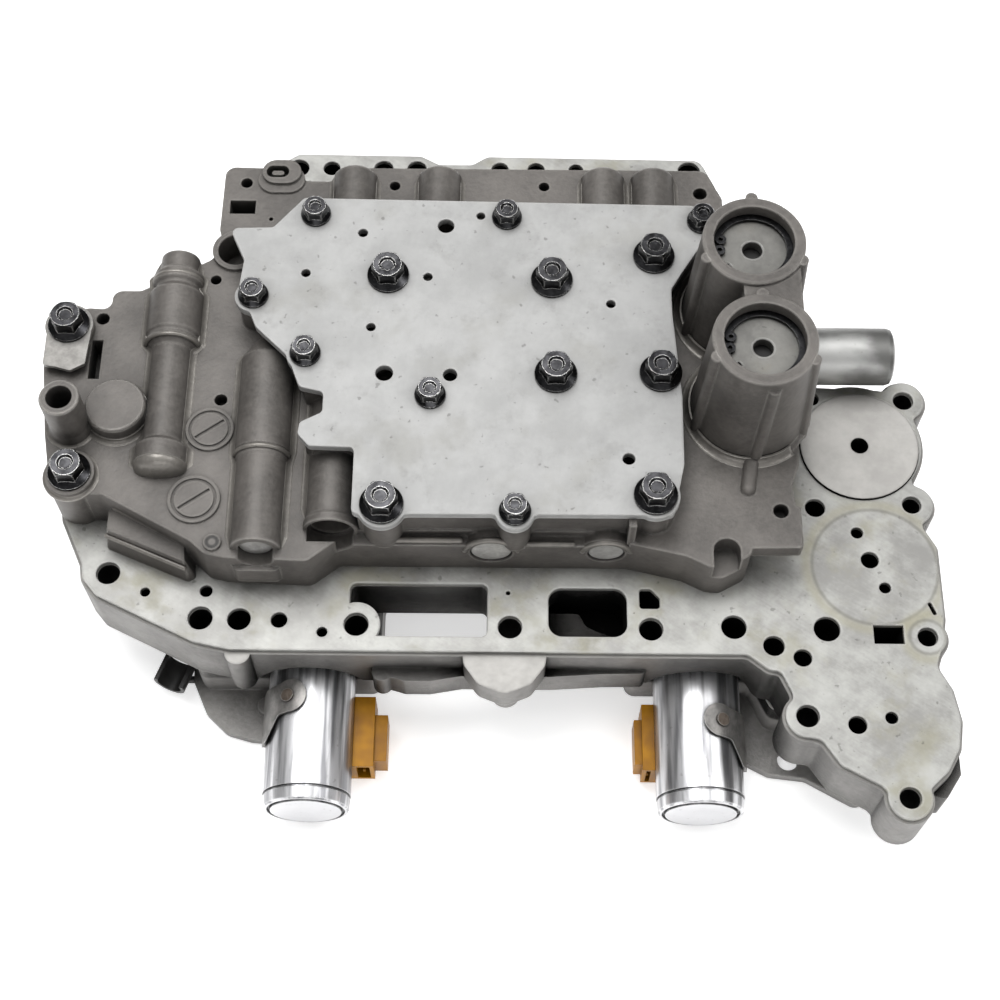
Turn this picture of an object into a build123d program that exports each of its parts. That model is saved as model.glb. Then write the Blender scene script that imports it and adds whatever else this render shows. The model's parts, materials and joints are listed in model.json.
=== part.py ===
from build123d import *
from collections import namedtuple
import math
import os

os.makedirs("parts", exist_ok=True)

# Transmission valve body: three stacked castings with separator plates between them.
# X runs to the right, Y to the rear, Z up from the flat base face. Sizes are in millimetres.

# Heights of the stack, from the bottom up.
BASE_HEIGHT = 24.0
BASE_FLANGE = 4.0
LOWER_PLATE_THICKNESS = 1.0
MAIN_HEIGHT = 24.0
PLATE_THICKNESS = 2.0
UPPER_HEIGHT = 21.0
COVER_WALL_HEIGHT = 12.0
COVER_THICKNESS = 3.0
TOWER_HEIGHT = 47.0

Z_BASE_TOP = BASE_HEIGHT
Z_MAIN_BOTTOM = Z_BASE_TOP + LOWER_PLATE_THICKNESS
Z_MAIN_TOP = Z_MAIN_BOTTOM + MAIN_HEIGHT
Z_PLATE_TOP = Z_MAIN_TOP + PLATE_THICKNESS
Z_UPPER_TOP = Z_PLATE_TOP + UPPER_HEIGHT
Z_WALL_TOP = Z_UPPER_TOP + COVER_WALL_HEIGHT
Z_COVER_TOP = Z_WALL_TOP + COVER_THICKNESS
Z_TOWER_TOP = Z_UPPER_TOP + TOWER_HEIGHT

# Edges of the separator plate that several outlines share.
FRONT = -74.0
REAR = 134.5
RIGHT = 147.5
LEFT = -168.0

# The castings stand out past the plate by a narrow lip.
CASTING_LIP = 1.0
NECK_RADIUS = 2.5
CORNER_RADIUS = 4.0

# Front of the upper casting and rear of its valve bank.
UPPER_FRONT = -42.5
UPPER_REAR = 112.8

# Fasteners. Clearances are radial.
HOLE_CLEARANCE = 0.3
THREAD_CLEARANCE = 0.05
M6_RADIUS = 3.0
M6_ACROSS_FLATS = 10.0
M6_FLANGE_RADIUS = 7.4
M6_HEAD_HEIGHT = 7.6
M6_GRIP_IN_MAIN = 15.0
M5_RADIUS = 2.5
M5_ACROSS_FLATS = 8.0
M5_FLANGE_RADIUS = 5.4
M5_HEAD_HEIGHT = 6.0
M5_GRIP_IN_WALL = 9.0
FLANGE_THICKNESS = 1.6
M6_BOSS_RADIUS = 7.0
M5_BOSS_RADIUS = 5.6

COVER_M6_BOLTS = [
    (-46.4, 54.7), (11.7, 53.2), (48.2, 63.8), (12.9, 14.6), (49.2, 15.4), (-45.5, -36.0), (46.0, -31.8),
]
COVER_M5_BOLTS = [
    (-73.4, 80.7), (-4.4, 80.1), (-93.7, 45.8), (-74.1, 22.2), (-30.3, 5.9), (-1.0, -38.2), (66.0, 79.1),
]

# Left side bolts stand on pads; the rear one also clamps the harness bracket.
LEFT_PAD_HEIGHT = 3.0
LEFT_PAD_RADIUS = 8.5
LEFT_BOLT_REAR = (-160.3, 39.6)
LEFT_BOLT_FRONT = (-153.9, -18.7)
BRACKET_THICKNESS = 1.5

# Accumulator towers on the right of the upper casting.
TOWER_REAR = (79.3, 49.1)
TOWER_FRONT = (80.9, 10.3)
TOWER_RIM_RADIUS = 17.6
TOWER_BASE_RADIUS = 20.4
ACCUMULATOR_BORE = 13.75
ACCUMULATOR_DEPTH = 48.0
TOWER_RIM_FILLET = 0.9
TOWER_FOOT = 1.8
TOWER_RIB_RADIUS = 2.1
RIDGE_RADIUS = 2.6
TOWER_RIB_ANGLES = [-26.0, 90.0, 203.0]
WEB_DROP = 1.5
RING_GROOVE_DEPTH = 1.2
RING_THICKNESS = 1.4
RING_WIDTH = 3.2
RING_LEVEL = 4.6
RING_EYE_ANGLE = 173.0
RING_CLEARANCE = 0.1
CAP_THICKNESS = 4.0
CAP_HOLE = 3.5
CAP_CLEARANCE = 0.1
PISTON_HEIGHT = 12.0
PISTON_WALL = 3.0
PISTON_CROWN = 4.0
PISTON_CLEARANCE = 0.08
PISTON_GAP = 0.3
SEAL_DROP = 3.2
SEAL_WIDTH = 2.4
SEAL_DEPTH = 1.8
SEAL_CLEARANCE = 0.03
ACCUMULATOR_WIRE = 1.3
ACCUMULATOR_COILS = 4.0

# Cover wall on the slab of the upper casting.
COVER_LIP = 1.6
COVER_M6_LOBE = 8.3
COVER_M5_LOBE = 6.6
COVER_BOSS_ROOT = 4.5
FRONT_LEDGE_DROP = 3.0
COVER_WALL = 5.0
DIVIDER_WALL = 4.0
REAR_HUMPS = [-61.2, -29.6, 31.4, 50.1]
REAR_HUMP_RADIUS = 8.2
REAR_HUMP_START = 84.0
REAR_HUMP_SETBACK = 3.0

# Spool valves. Each line is one bore with a plug at its mouth, a spool and a return spring.
SPOOL_CLEARANCE = 0.04
PLUG_CLEARANCE = 0.02
SPOOL_GAP = 0.3
SPRING_GAP = 0.3
SPOOL_LANDS = 3
SPOOL_STEM_SHARE = 0.55
PORT_DEPTH = 1.2
PORT_WIDTH = 4.0
PORT_DRILL = 1.8
RELAY_FLARE_RADIUS = 9.4
RELAY_FLARE_LENGTH = 2.6
RELAY_FLARE_BORE = 8.1
KEY_THICKNESS = 2.0
KEY_CLEARANCE = 0.1
VALVE_WIRE = 0.6
VALVE_COILS = 5.0
VALVE_COIL_GAP = 0.5

# Height of the valve axes: the left bank stands half out of the slab, the front pair lies in it.
LEFT_BANK_AXIS = UPPER_HEIGHT
FRONT_PAIR_AXIS = 12.5

ValveLine = namedtuple("ValveLine", "name x height mouth inward bore plug recess plug_length spool spring")
VALVE_LINES = [
    ValveLine("shift_valve", -123.5, LEFT_BANK_AXIS, 70.5, -1, 4.6, 5.6, 3.0, 8.0, 50.0, 18.0),
    ValveLine("lockup_valve", -88.5, LEFT_BANK_AXIS, -46.0, 1, 5.3, 5.9, 1.0, 8.0, 36.0, 16.0),
    ValveLine("relay_valve", -63.5, LEFT_BANK_AXIS, -38.8, 1, 5.8, 6.9, 10.0, 6.0, 30.0, 14.0),
    ValveLine("pressure_valve", -8.9, FRONT_PAIR_AXIS, UPPER_FRONT, 1, 5.8, 7.3, 0.6, 7.0, 46.0, 18.0),
    ValveLine("control_valve", 30.5, FRONT_PAIR_AXIS, UPPER_FRONT, 1, 5.2, 6.4, 0.6, 7.0, 44.0, 18.0),
]

# Upper casting: the shelf before the cover wall with its rib, the rail, the ledges and the small pockets.
FRONT_SHELF_X = (-60, 38)
FRONT_SHELF_DEPTH = 4.2
SHELF_RIB_X = (37.2, 39.8)
SHELF_RIB_Y = (0.5, 5)
RAIL_OUTLINE = [(-143.5, -27), (-143.5, -36.5), (-114, -49), (-111.5, -47.5), (-112.5, -39), (-140, -24)]
RAIL_CORNER = 1.5
RIGHT_LEDGE_OUTLINE = [(74, -44), (97, -43.5), (97, -28), (74, -28)]
RIGHT_LEDGE_DEPTH = 6.5
LOW_DISC = (-103.3, -43.7)
LOW_DISC_RADIUS = 3.0
LOW_DISC_RISE = 1.0
TUBE_FOOT_X = (-97, -80.5)
TUBE_FOOT_Y = (-51.0, -45.0)
TUBE_FOOT_HEIGHTS = (5.5, 15)
TUBE_FOOT_CORNER = 2.5
WEB_X = (75, 94.5)
WEB_SETBACK = 10
RIDGE_START = (81.4, -8)
RIDGE_END = (79.2, -21.6)
FIN_FOOT = (82.2, -9.6)
FIN_TOP = (83.4, -6.8)
FIN_LIFT = 3
FIN_DROP = 4
REAR_POCKET = ((-107.5, -98.0), (91.5, 97.5))
REAR_POCKET_DEPTH = 9
SIDE_SLOT = ((-152.5, -148.5), (20, 36))
SIDE_SLOT_DEPTH = 10
FRONT_NOTCH_DEPTH = 8
FRONT_NOTCH_LENGTH = 12

# Middle casting: outlines of the front ledge, the front tab and the heel, and the posts beside them.
FRONT_LEDGE_OUTLINE = [
    (-50, -70), (-49, -77), (-38.6, -80), (-30, -80), (-19, -78),
    (12, -78), (30, -76.8), (45, -76.5), (46, -70),
]
FRONT_LEDGE_CORNER = 2.0
TAB_OUTLINE = [(-19, -70), (-18, -78), (-13, -85), (-4, -88.5), (5, -85), (10, -78), (11, -70)]
TAB_CORNER = 5.0
TAB_POST = (-3.5, -82.6)
TAB_POST_RADIUS = 5.0
TAB_POST_DROP = 4
HEEL_OUTLINE = [(138, -112), (149.8, -104.5), (149.8, -113.3), (144.3, -121.6), (138, -120.5)]
HEEL_CORNER = 1.0
ARCH_POST = (-95.5, -74.0)
ARCH_POST_RADIUS = 4.5
LEDGE_POST = (-46.6, -76.5)
LEDGE_POST_RADIUS = 3.4

# Lower casting: outlines of the two lobes of its foot flange and the stud on the left one.
LEFT_LOBE_OUTLINE = [
    (-118, -50), (-117.5, -68), (-112, -80), (-104, -87.5), (-95, -90), (-88.5, -90.5), (-88.5, -60),
]
LEFT_LOBE_CORNER = 6.0
RIGHT_LOBE_OUTLINE = [
    (81, -62), (82.5, -97), (91, -101.5), (104, -103), (123.5, -114), (129, -100), (129, -60),
]
RIGHT_LOBE_CORNER = 4.0
FLANGE_STUD = (-90.0, -78.0)
FLANGE_STUD_RADIUS = 3.2
FLANGE_STUD_RISE = 3

# Front solenoids: a can, a collar against the base casting and a nose in its bore.
SOLENOID_X = [-72.5, 64.7]
SOLENOID_AXIS = 16.5
SOLENOID_RADIUS = 15.4
SOLENOID_LENGTH = 49.5
SOLENOID_SEAT = -70.8
SOLENOID_NOSE_RADIUS = 6.0
SOLENOID_NOSE_LENGTH = 26.0
NOSE_CLEARANCE = 0.05
NOSE_GROOVE_DEPTH = 1.3
NOSE_GROOVE_WIDTH = 2.4
NOSE_GROOVES = [8.0, 18.0]
END_DISC_RADIUS = 12.4
END_GROOVE = 0.9
CAN_ARCH_CLEARANCE = 5.0
END_GROOVE_BACK = 4.6
END_GROOVE_DEPTH = 0.7
END_RIM_DEPTH = 1.2
KEEPER_THICKNESS = 1.2
KEEPER_GAP = 0.05
KEEPER_EAR_RADIUS = 6.0
RIVET_RADIUS = 1.2
RIVET_HEAD_RADIUS = 2.4
RIVET_HEAD = 0.8
RIVET_DEPTH = 2.5
KEEPER_LOWER_EDGE = 2.0
KEEPER_RIVETS = [(-83.2, -24.5), (-90.7, 25.4)]
O_RING_WIRE = 0.62
CONNECTOR_WALL = 1.4
CONNECTOR_SOCKET = 9.0
CONNECTOR_HEIGHTS = (3.0, 17.2)
CONNECTOR_SIDES = [1, -1]
CONNECTOR_REACH = [11.9, 7.0]
# Rear, step and front of each connector along Y.
CONNECTOR_Y = [(-78.2, -84.5, -104.0), (-80.2, -85.5, -104.5)]

# Rear solenoid, lying along X in the right wall of the upper casting.
REAR_CAN_RADIUS = 10.4
REAR_CAN_Y = 37.9
REAR_CAN_HEIGHT = 11.0
REAR_CAN_START = 101.5
REAR_CAN_END = 135.4
REAR_NOSE_RADIUS = 5.0
REAR_NOSE_LENGTH = 18.0

# Round pad that the middle casting carries through the separator plate.
DISC_PAD = (123.5, 6.6)
DISC_PAD_RADIUS = 21.3
DISC_PAD_RISE = 1.0
DISC_PAD_CLEARANCE = 0.3
DISC_PAD_BORE = 3.2

# Rounded lobes of the plate and the middle casting: round the pad and round the edge bolts.
PAD_LOBE = (122.5, 8.0)
PAD_LOBE_RADIUS = 23.6
FRONT_EAR_RADIUS = 7.4
SIDE_EAR_RADIUS = 6.6
REAR_EAR_RADIUS = 7.6
FRONT_LEDGE_HEIGHT = 13.0
TAB_THICKNESS = 12.0
HEEL_HEIGHT = 17.0
ARCH_REACH = 3.8

# Case bolts pass through the middle casting; the radius is that of the drilled wall.
CASE_BOLTS = [
    (-142.3, -45.8, 4.0),
    (-108.9, -62.4, 4.1),
    (-55.1, -64.2, 4.1),
    (-2.2, -64.8, 4.0),
    (46.3, -65.1, 4.0),
    (98.1, -96.1, 3.75),
    (130.0, -124.2, 3.5),
    (141.2, -67.1, 3.3),
    (141.2, 25.9, 3.5),
    (140.4, -16.6, 3.2),
]
PLATE_HOLE_STEP = 0.25

# Oil passages drilled through the plate into the middle casting.
PASSAGES = [
    (-128.7, -52.9, 1.75),
    (-107.6, -52.3, 2.25),
    (-95.5, -62.7, 4.1),
    (-81.7, -62.9, 2.9),
    (-66.7, -67.2, 1.9),
    (-2.9, -52.1, 0.8),
    (74.8, -64.1, 4.4),
    (88.2, -70.9, 3.7),
    (97.8, -75.2, 3.2),
    (106.8, -64.5, 4.6),
    (120.0, -27.8, 2.2),
    (123.7, -38.3, 3.2),
    (128.1, -48.9, 2.1),
    (105.9, -18.1, 3.6),
    (114.6, -99.1, 3.2),
    (126.2, -96.5, 2.2),
    (107.6, 26.4, 2.8),
]
REAR_PASSAGE_Y = 128.4
REAR_PASSAGES = [
    (-85.8, 4.1), (-72.9, 3.3), (-52.6, 3.8), (-39.6, 3.8), (-7.1, 3.4), (7.0, 3.4), (22.6, 2.9), (66.8, 4.4),
]
PASSAGE_DEPTH = 12.0
EDGE_SLIT = (143.7, -56.6)
EDGE_SLIT_TURN = 112.0
EDGE_SLIT_LENGTH = 5.0
EDGE_SLIT_WIDTH = 1.4

# Windows between the front strip and the upper casting.
WINDOW_FRONT = FRONT + 5.8
WINDOW_REAR = -49.0
WINDOW_RADIUS = 2.4
LEFT_WINDOW_X = (-57.5, -10.2)
RIGHT_WINDOW_X = (11.0, 38.2)
WINDOW_LOBE_RADIUS = 8.2
RIGHT_WINDOW_DEPTH = 11.0
WINDOW_WELL_FLOOR = 3.0

# Base casting: its two arms carry the solenoids and the space between them is open.
BASE_RECESS_Y = -36.0
BASE_RECESS_X = (-48.5, 40.0)
SCREW_RADIUS = 2.5
SCREW_HEAD_RADIUS = 4.8
SCREW_HEAD_DEPTH = 5.0
SCREW_HEAD_INSET = 0.6
SCREW_SOCKET_RADIUS = 2.3
SCREW_REACH = 14.0
BASE_SCREWS = [
    (-120.0, -30.0), (-120.0, 30.0), (-60.0, -20.0), (-60.0, 70.0),
    (20.0, -20.0), (20.0, 90.0), (110.0, -50.0), (85.0, 20.0),
]
DOWEL_RADIUS = 4.0
DOWEL_REACH = 8.0
DOWEL_CLEARANCE = 0.02
DOWEL_GAP = 0.2
DOWELS = [(-138.0, 10.0), (120.0, -78.0)]
BALL_RADIUS = 3.0
BALL_CLEARANCE = 0.3
CHECK_BALLS = [(-100.0, -20.0), (-30.0, 40.0), (35.0, -10.0), (-10.0, 95.0)]
TRACK_WIDTH = 7.0
TRACK_DEPTH = 9.0
OIL_TRACKS = [
    [(-132.0, 0.0), (-112.0, 0.0), (-112.0, 30.0)],
    [(-100.0, -40.0), (-88.0, -20.0), (-88.0, 20.0), (-70.0, 40.0)],
    [(-74.0, 0.0), (-40.0, 0.0), (-40.0, 30.0), (-20.0, 44.0)],
    [(-84.0, 90.0), (-50.0, 90.0), (-30.0, 72.0), (0.0, 72.0)],
    [(-20.0, 104.0), (50.0, 104.0), (60.0, 80.0)],
    [(-8.0, -24.0), (-8.0, 14.0), (22.0, 30.0), (22.0, 56.0)],
    [(46.0, -20.0), (60.0, 0.0), (60.0, 40.0)],
    [(84.0, -30.0), (104.0, -10.0), (124.0, -30.0)],
]

# Wire clip, pinned in the edge of the foot flange.
CLIP_PLACE = (-123.5, -66.5, 9.5)
CLIP_RADIUS = 6.0
CLIP_THICKNESS = 1.4
CLIP_LENGTH = 11.0
CLIP_TURN = -20.0
CLIP_PIN_RADIUS = 1.4
CLIP_PIN_CLEARANCE = 0.02
CLIP_PIN_END = -112.0

# Left side fittings of the upper casting.
FRONT_NOTCH = (71.0, -44.9)
FRONT_NOTCH_RADIUS = 4.6
RAIL_HEIGHT = 13.0
RAIL_DRAFT = 9.0
PIPE_BOSS = (-156.0, 0.6)
PIPE_BOSS_RADIUS = 6.9
PIPE_BOSS_RISE = 21.0
PIPE_BORE = 4.5
PIPE_DEPTH = 30.0
ROUND_PAD = (-140.2, 5.9)
ROUND_PAD_RADIUS = 10.6
ROUND_PAD_RISE = 6.8
MARKERS = [((-107.5, -0.2), 8.4), ((-110.8, -27.5), 9.0)]
SLOTTED_BOSS = (-88.9, 109.4)
SLOTTED_BOSS_SIZE = (14.5, 10.6)
SLOTTED_BOSS_RISE = 2.2
BOSS_POCKET = (-90.4, 109.4)
BOSS_POCKET_SIZE = (8.5, 5.3)
BOSS_POCKET_DEPTH = 5.0
BOSS_KEY_SIZE = (4.6, 2.0)
SIDE_EYE = (-103.6, 74.4)
SIDE_EYE_RADIUS = 8.6
SIDE_EYE_BORE = 6.6
SIDE_EYE_DEPTH = 14.0
SIDE_EYE_RISE = 1.5
SMALL_HOLE_DEPTH = 6.0
SMALL_HOLES = [
    (-110.2, 62.1, 2.0),
    (-104.6, 11.9, 2.3),
    (-149.6, 45.0, 2.4),
    (84.0, -10.1, 2.0),
    (90.1, -29.8, 2.7),
    (-102.0, 105.5, 2.2),
    (-91.9, 89.2, 0.8),
    (-46.4, 104.7, 2.0),
    (9.5, 104.9, 2.0),
    (67.9, 102.3, 2.6),
]

# Small holes through the cover plate.
COVER_HOLES = [
    (-56.1, 72.9, 1.8),
    (-13.8, 80.7, 1.6),
    (-75.7, 55.5, 1.7),
    (-32.3, 54.3, 1.7),
    (-51.7, 33.2, 1.7),
    (32.5, 43.6, 1.7),
    (-26.3, 76.2, 3.0),
    (-46.4, 14.6, 3.1),
    (-23.6, 14.1, 2.5),
    (37.4, -18.1, 2.2),
]


def rounded_outline(points, radius):
    """Closed outline through the points; each corner is an arc that its two sides leave room for."""
    corners = []
    count = len(points)
    for i in range(count):
        corner = Vector(*points[i])
        back = Vector(*points[i - 1]) - corner
        ahead = Vector(*points[(i + 1) % count]) - corner
        half = math.radians(back.get_angle(ahead)) / 2
        arc = min(radius, 0.45 * min(back.length, ahead.length) * math.tan(half))
        run = arc / math.tan(half)
        middle = (back.normalized() + ahead.normalized()).normalized()
        reach = arc / math.sin(half) - arc
        leave = corner + back.normalized() * run
        meet = corner + ahead.normalized() * run
        corners.append((leave, corner + middle * reach, meet))
    edges = []
    for i in range(count):
        start, middle, end = corners[i]
        edges.append(ThreePointArc(start, middle, end))
        edges.append(Line(end, corners[(i + 1) % count][0]))
    return make_face(edges)


def discs(places, radius):
    """Flat discs of one radius at the places."""
    return [Pos(place[0], place[1]) * Circle(radius) for place in places]


def stadium(place, size):
    """Flat shape with two round ends, longest along X; the size is its whole length and width."""
    length, width = size
    return Pos(place[0], place[1]) * SlotOverall(length, width)


def smooth_necks(face, radius):
    """Fills each inward corner with an arc of the radius."""
    return offset(offset(face, amount=radius), amount=-radius)


def prism(face, low, high):
    return Pos(0, 0, low) * extrude(face, amount=high - low, dir=(0, 0, 1))


def post(place, radius, low, high):
    return Pos(place[0], place[1], (low + high) / 2) * Cylinder(radius, high - low)


def bar_y(x, z, radius, start, end):
    return Pos(x, (start + end) / 2, z) * Rot(90, 0, 0) * Cylinder(radius, abs(end - start))


def bar_x(y, z, radius, start, end):
    return Pos((start + end) / 2, y, z) * Rot(0, 90, 0) * Cylinder(radius, abs(end - start))


def block(x_range, y_range, z_range):
    low = Vector(x_range[0], y_range[0], z_range[0])
    high = Vector(x_range[1], y_range[1], z_range[1])
    size = high - low
    return Pos(*((low + high) * 0.5)) * Box(size.X, size.Y, size.Z)


def rod(start, end, radius):
    """Round rod from one point to another."""
    start = Vector(*start)
    end = Vector(*end)
    along = end - start
    foot_align = (Align.CENTER, Align.CENTER, Align.MIN)
    return Plane(start, z_dir=along) * Cylinder(radius, along.length, align=foot_align)


def turned_y(x, z, profile, blend=0.0):
    """Solid turned about a line along Y; the profile is a list of (y, radius)."""
    outline = [(0, profile[0][0])] + [(radius, y) for y, radius in profile] + [(0, profile[-1][0])]
    solid = revolve(make_face(Polyline(*outline, close=True)), Axis.Y)
    if blend > 0:
        solid = fillet(solid.edges().filter_by(GeomType.CIRCLE), blend)
    return Pos(x, 0, z) * solid


def turned_z(place, profile):
    """Solid turned about a line along Z; the profile is a list of (radius, z)."""
    face = make_face(Polyline(*[(radius, 0, z) for radius, z in profile], close=True))
    return Pos(place[0], place[1], 0) * revolve(face, Axis.Z)


def coil(radius, wire, length, turns):
    """Compression spring along Z from zero to its length, of round wire."""
    rise = length - 2 * wire
    path = Pos(0, 0, wire) * Helix(pitch=rise / turns, height=rise, radius=radius)
    section = Plane(path @ 0, z_dir=path % 0) * RegularPolygon(wire, 6)
    return sweep(section, path=path)


def flange_bolt(place, seat, shank, radius, across_flats, flange_radius, head_height):
    """Hex flange bolt with a dished head, standing on the seat with its shank below it."""
    x, y = place
    dish = 0.3 * across_flats
    crown = across_flats * 0.57
    hexagon = Pos(x, y, seat) * extrude(RegularPolygon(across_flats / 2, 6, major_radius=False), head_height)
    shoulder = turned_z(place, [
        (0, seat), (crown, seat), (crown, seat + head_height - 0.8), (crown - 0.8, seat + head_height),
        (dish, seat + head_height), (dish * 0.7, seat + head_height - 0.9), (0, seat + head_height - 0.9),
    ])
    skirt = turned_z(place, [
        (0, seat), (flange_radius, seat), (flange_radius, seat + FLANGE_THICKNESS * 0.6),
        (across_flats / 2, seat + FLANGE_THICKNESS * 1.6), (0, seat + FLANGE_THICKNESS * 1.6),
    ])
    return (hexagon & shoulder) + skirt + post(place, radius, seat - shank, seat)


def plate_outline():
    """Outline of the light separator plate, with its ears."""
    corners = [
        (-160, -25), (-152, -42), (-151, -48), (-146, -54), (-111, -71), (-98, FRONT + 0.2), (79, FRONT),
        (86, -79.5), (90, -80), (94, -89), (91, -95), (98, -103.5), (102, -104), (108, -113), (121, -120),
        (130, -131), (137, -121), (143.5, -115), (RIGHT + 0.5, -107), (RIGHT + 2, -97), (RIGHT, -86),
        (143.2, -78), (145, -73), (RIGHT, -60), (RIGHT, -33), (142, -23), (138.5, -10), (138.5, 22),
        (134, 30), (101, 31.5),
        (101, 62), (78, 78), (76, 122), (71, REAR - 1), (-12, REAR),
        (-18, REAR - 4), (-31, REAR - 4), (-38, REAR), (-86, REAR + 0.5), (-96, 128), (-105, 112), (-108, 84),
        (-114, 70), (-137, 57), (-147, 56), (LEFT + 2, 46), (LEFT, 24), (-164, -4),
    ]
    ears = discs([CASE_BOLTS[5], CASE_BOLTS[6]], FRONT_EAR_RADIUS)
    ears += discs([CASE_BOLTS[7]], SIDE_EAR_RADIUS)
    ears += discs([CASE_BOLTS[8], CASE_BOLTS[9]], REAR_EAR_RADIUS)
    ears += discs([PAD_LOBE], PAD_LOBE_RADIUS)
    return smooth_necks(rounded_outline(corners, CORNER_RADIUS) + ears, NECK_RADIUS)


def left_window(grow=0.0):
    """Window with a corner lobe left round the case bolt beside it."""
    low, high = LEFT_WINDOW_X
    front = WINDOW_FRONT - grow
    rear = WINDOW_REAR + grow
    corners = [(low - grow, front), (high + grow, front), (high + grow, rear), (low - grow, rear)]
    return rounded_outline(corners, WINDOW_RADIUS) - discs([CASE_BOLTS[2]], WINDOW_LOBE_RADIUS)


def right_window():
    low, high = RIGHT_WINDOW_X
    corners = [(low, WINDOW_FRONT), (high, WINDOW_FRONT), (high, WINDOW_REAR - 1), (low, WINDOW_REAR - 1)]
    return rounded_outline(corners, 2 * WINDOW_RADIUS)


def window_well():
    """Deep part of the pocket under the right window, with its curved bank."""
    low, high = RIGHT_WINDOW_X
    return rounded_outline([
        (low, -54.2), (22, -54.2), (24.5, -59), (28.5, -61), (33, -62.5), (35.5, -66), (high, -67.0),
        (high, WINDOW_REAR - 1), (low, WINDOW_REAR - 1),
    ], 2.5)


def base_outline():
    """Lower casting: a left arm and a right arm forward of the open recess."""
    low, high = BASE_RECESS_X
    corners = [
        (-140, -38), (-118, -58), (-113, SOLENOID_SEAT), (low, SOLENOID_SEAT), (low, BASE_RECESS_Y),
        (high, BASE_RECESS_Y), (high, SOLENOID_SEAT), (84, SOLENOID_SEAT), (90, -84), (104, -88), (118, -100),
        (132, -96), (134, -56), (132, 22), (96, 26), (94, 60), (72, 74), (70, 116), (-84, 118), (-100, 104),
        (-104, 76), (-132, 50), (-154, 38), (-152, -20),
    ]
    return rounded_outline(corners, CORNER_RADIUS)


def cover_outline():
    """Cover plate outline with a lobe round each edge bolt."""
    corners = [
        (-78, 88), (-88.5, 75), (-104, 74.5), (-98, 61), (-99, 50), (-92, 33), (-80, 21), (-75.5, 9),
        (-67, 7), (-67, -1), (-74.5, -5), (-75, -9.5), (-71, -14), (-55.5, -14.5), (-55.5, -39.4),
        (52, -39), (56, -20),
        (56.3, 6.5), (54, 40), (54, 50), (58, 57), (66, 70), (64, 86),
    ]
    edge_m6 = [COVER_M6_BOLTS[index] for index in (5, 6)]
    edge_m5 = [COVER_M5_BOLTS[index] for index in (0, 2, 3, 5, 6)]
    face = rounded_outline(corners, 2.0) + discs(edge_m6, COVER_M6_LOBE) + discs(edge_m5, COVER_M5_LOBE)
    return smooth_necks(face, 2.0)


def upper_outline():
    """Slab of the upper casting, at the level of its joint with the plate."""
    corners = [
        (-160.5, -25.5), (-143, -25.5), (-111, -43), (-106, -47.5), (-99, -49), (-71, -50),
        (-61.5, UPPER_FRONT), (38, UPPER_FRONT), (57, UPPER_FRONT - 4.5), (65, UPPER_FRONT - 8.5),
        (70, UPPER_FRONT - 9),
        (79, UPPER_FRONT - 4), (82, -35), (96, -33), (94.5, -20), (97.5, -12), (98, -2), (102, 12), (101, 50),
        (94, 66), (76, 74), (76, 100), (70, UPPER_REAR), (-66, UPPER_REAR), (-69.5, 106.4), (-81, 106.6),
        (-84, 112), (-96, 112.4), (-110.2, 112.8), (-110.5, 84), (-108, 76), (-113, 70.5), (-137, 57),
        (-147, 57), (-147, 49), (-155, 49.5), (-165, 47), (-168.8, 40), (-168.5, 24), (-165, -2),
        (-161.5, -20),
    ]
    return rounded_outline(corners, 4.0)


def axis_height(line):
    return Z_PLATE_TOP + line.height


def along(line, distance):
    """Y at a distance into the bore from its mouth."""
    return line.mouth + line.inward * distance


def plug_end(line):
    return line.recess + line.plug_length


def spring_start(line):
    return plug_end(line) + SPOOL_GAP + line.spool + SPRING_GAP


def bore_length(line):
    return spring_start(line) + line.spring + SPRING_GAP


def key_space(line, grow=0.0):
    """Upright key that crosses the lower half of the plug; grown, it is the slot for it."""
    middle = along(line, line.recess + line.plug_length / 2)
    half = line.plug * 0.6 + grow
    thick = KEY_THICKNESS / 2 + grow
    top = axis_height(line) - line.plug * 0.35 + grow
    return block((line.x - half, line.x + half), (middle - thick, middle + thick), (Z_PLATE_TOP, top))


def cap_top():
    return Z_TOWER_TOP - RING_LEVEL - RING_THICKNESS - RING_CLEARANCE


def piston_top():
    return cap_top() - CAP_THICKNESS - PISTON_GAP


def tower_floor():
    return Z_TOWER_TOP - ACCUMULATOR_DEPTH


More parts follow.
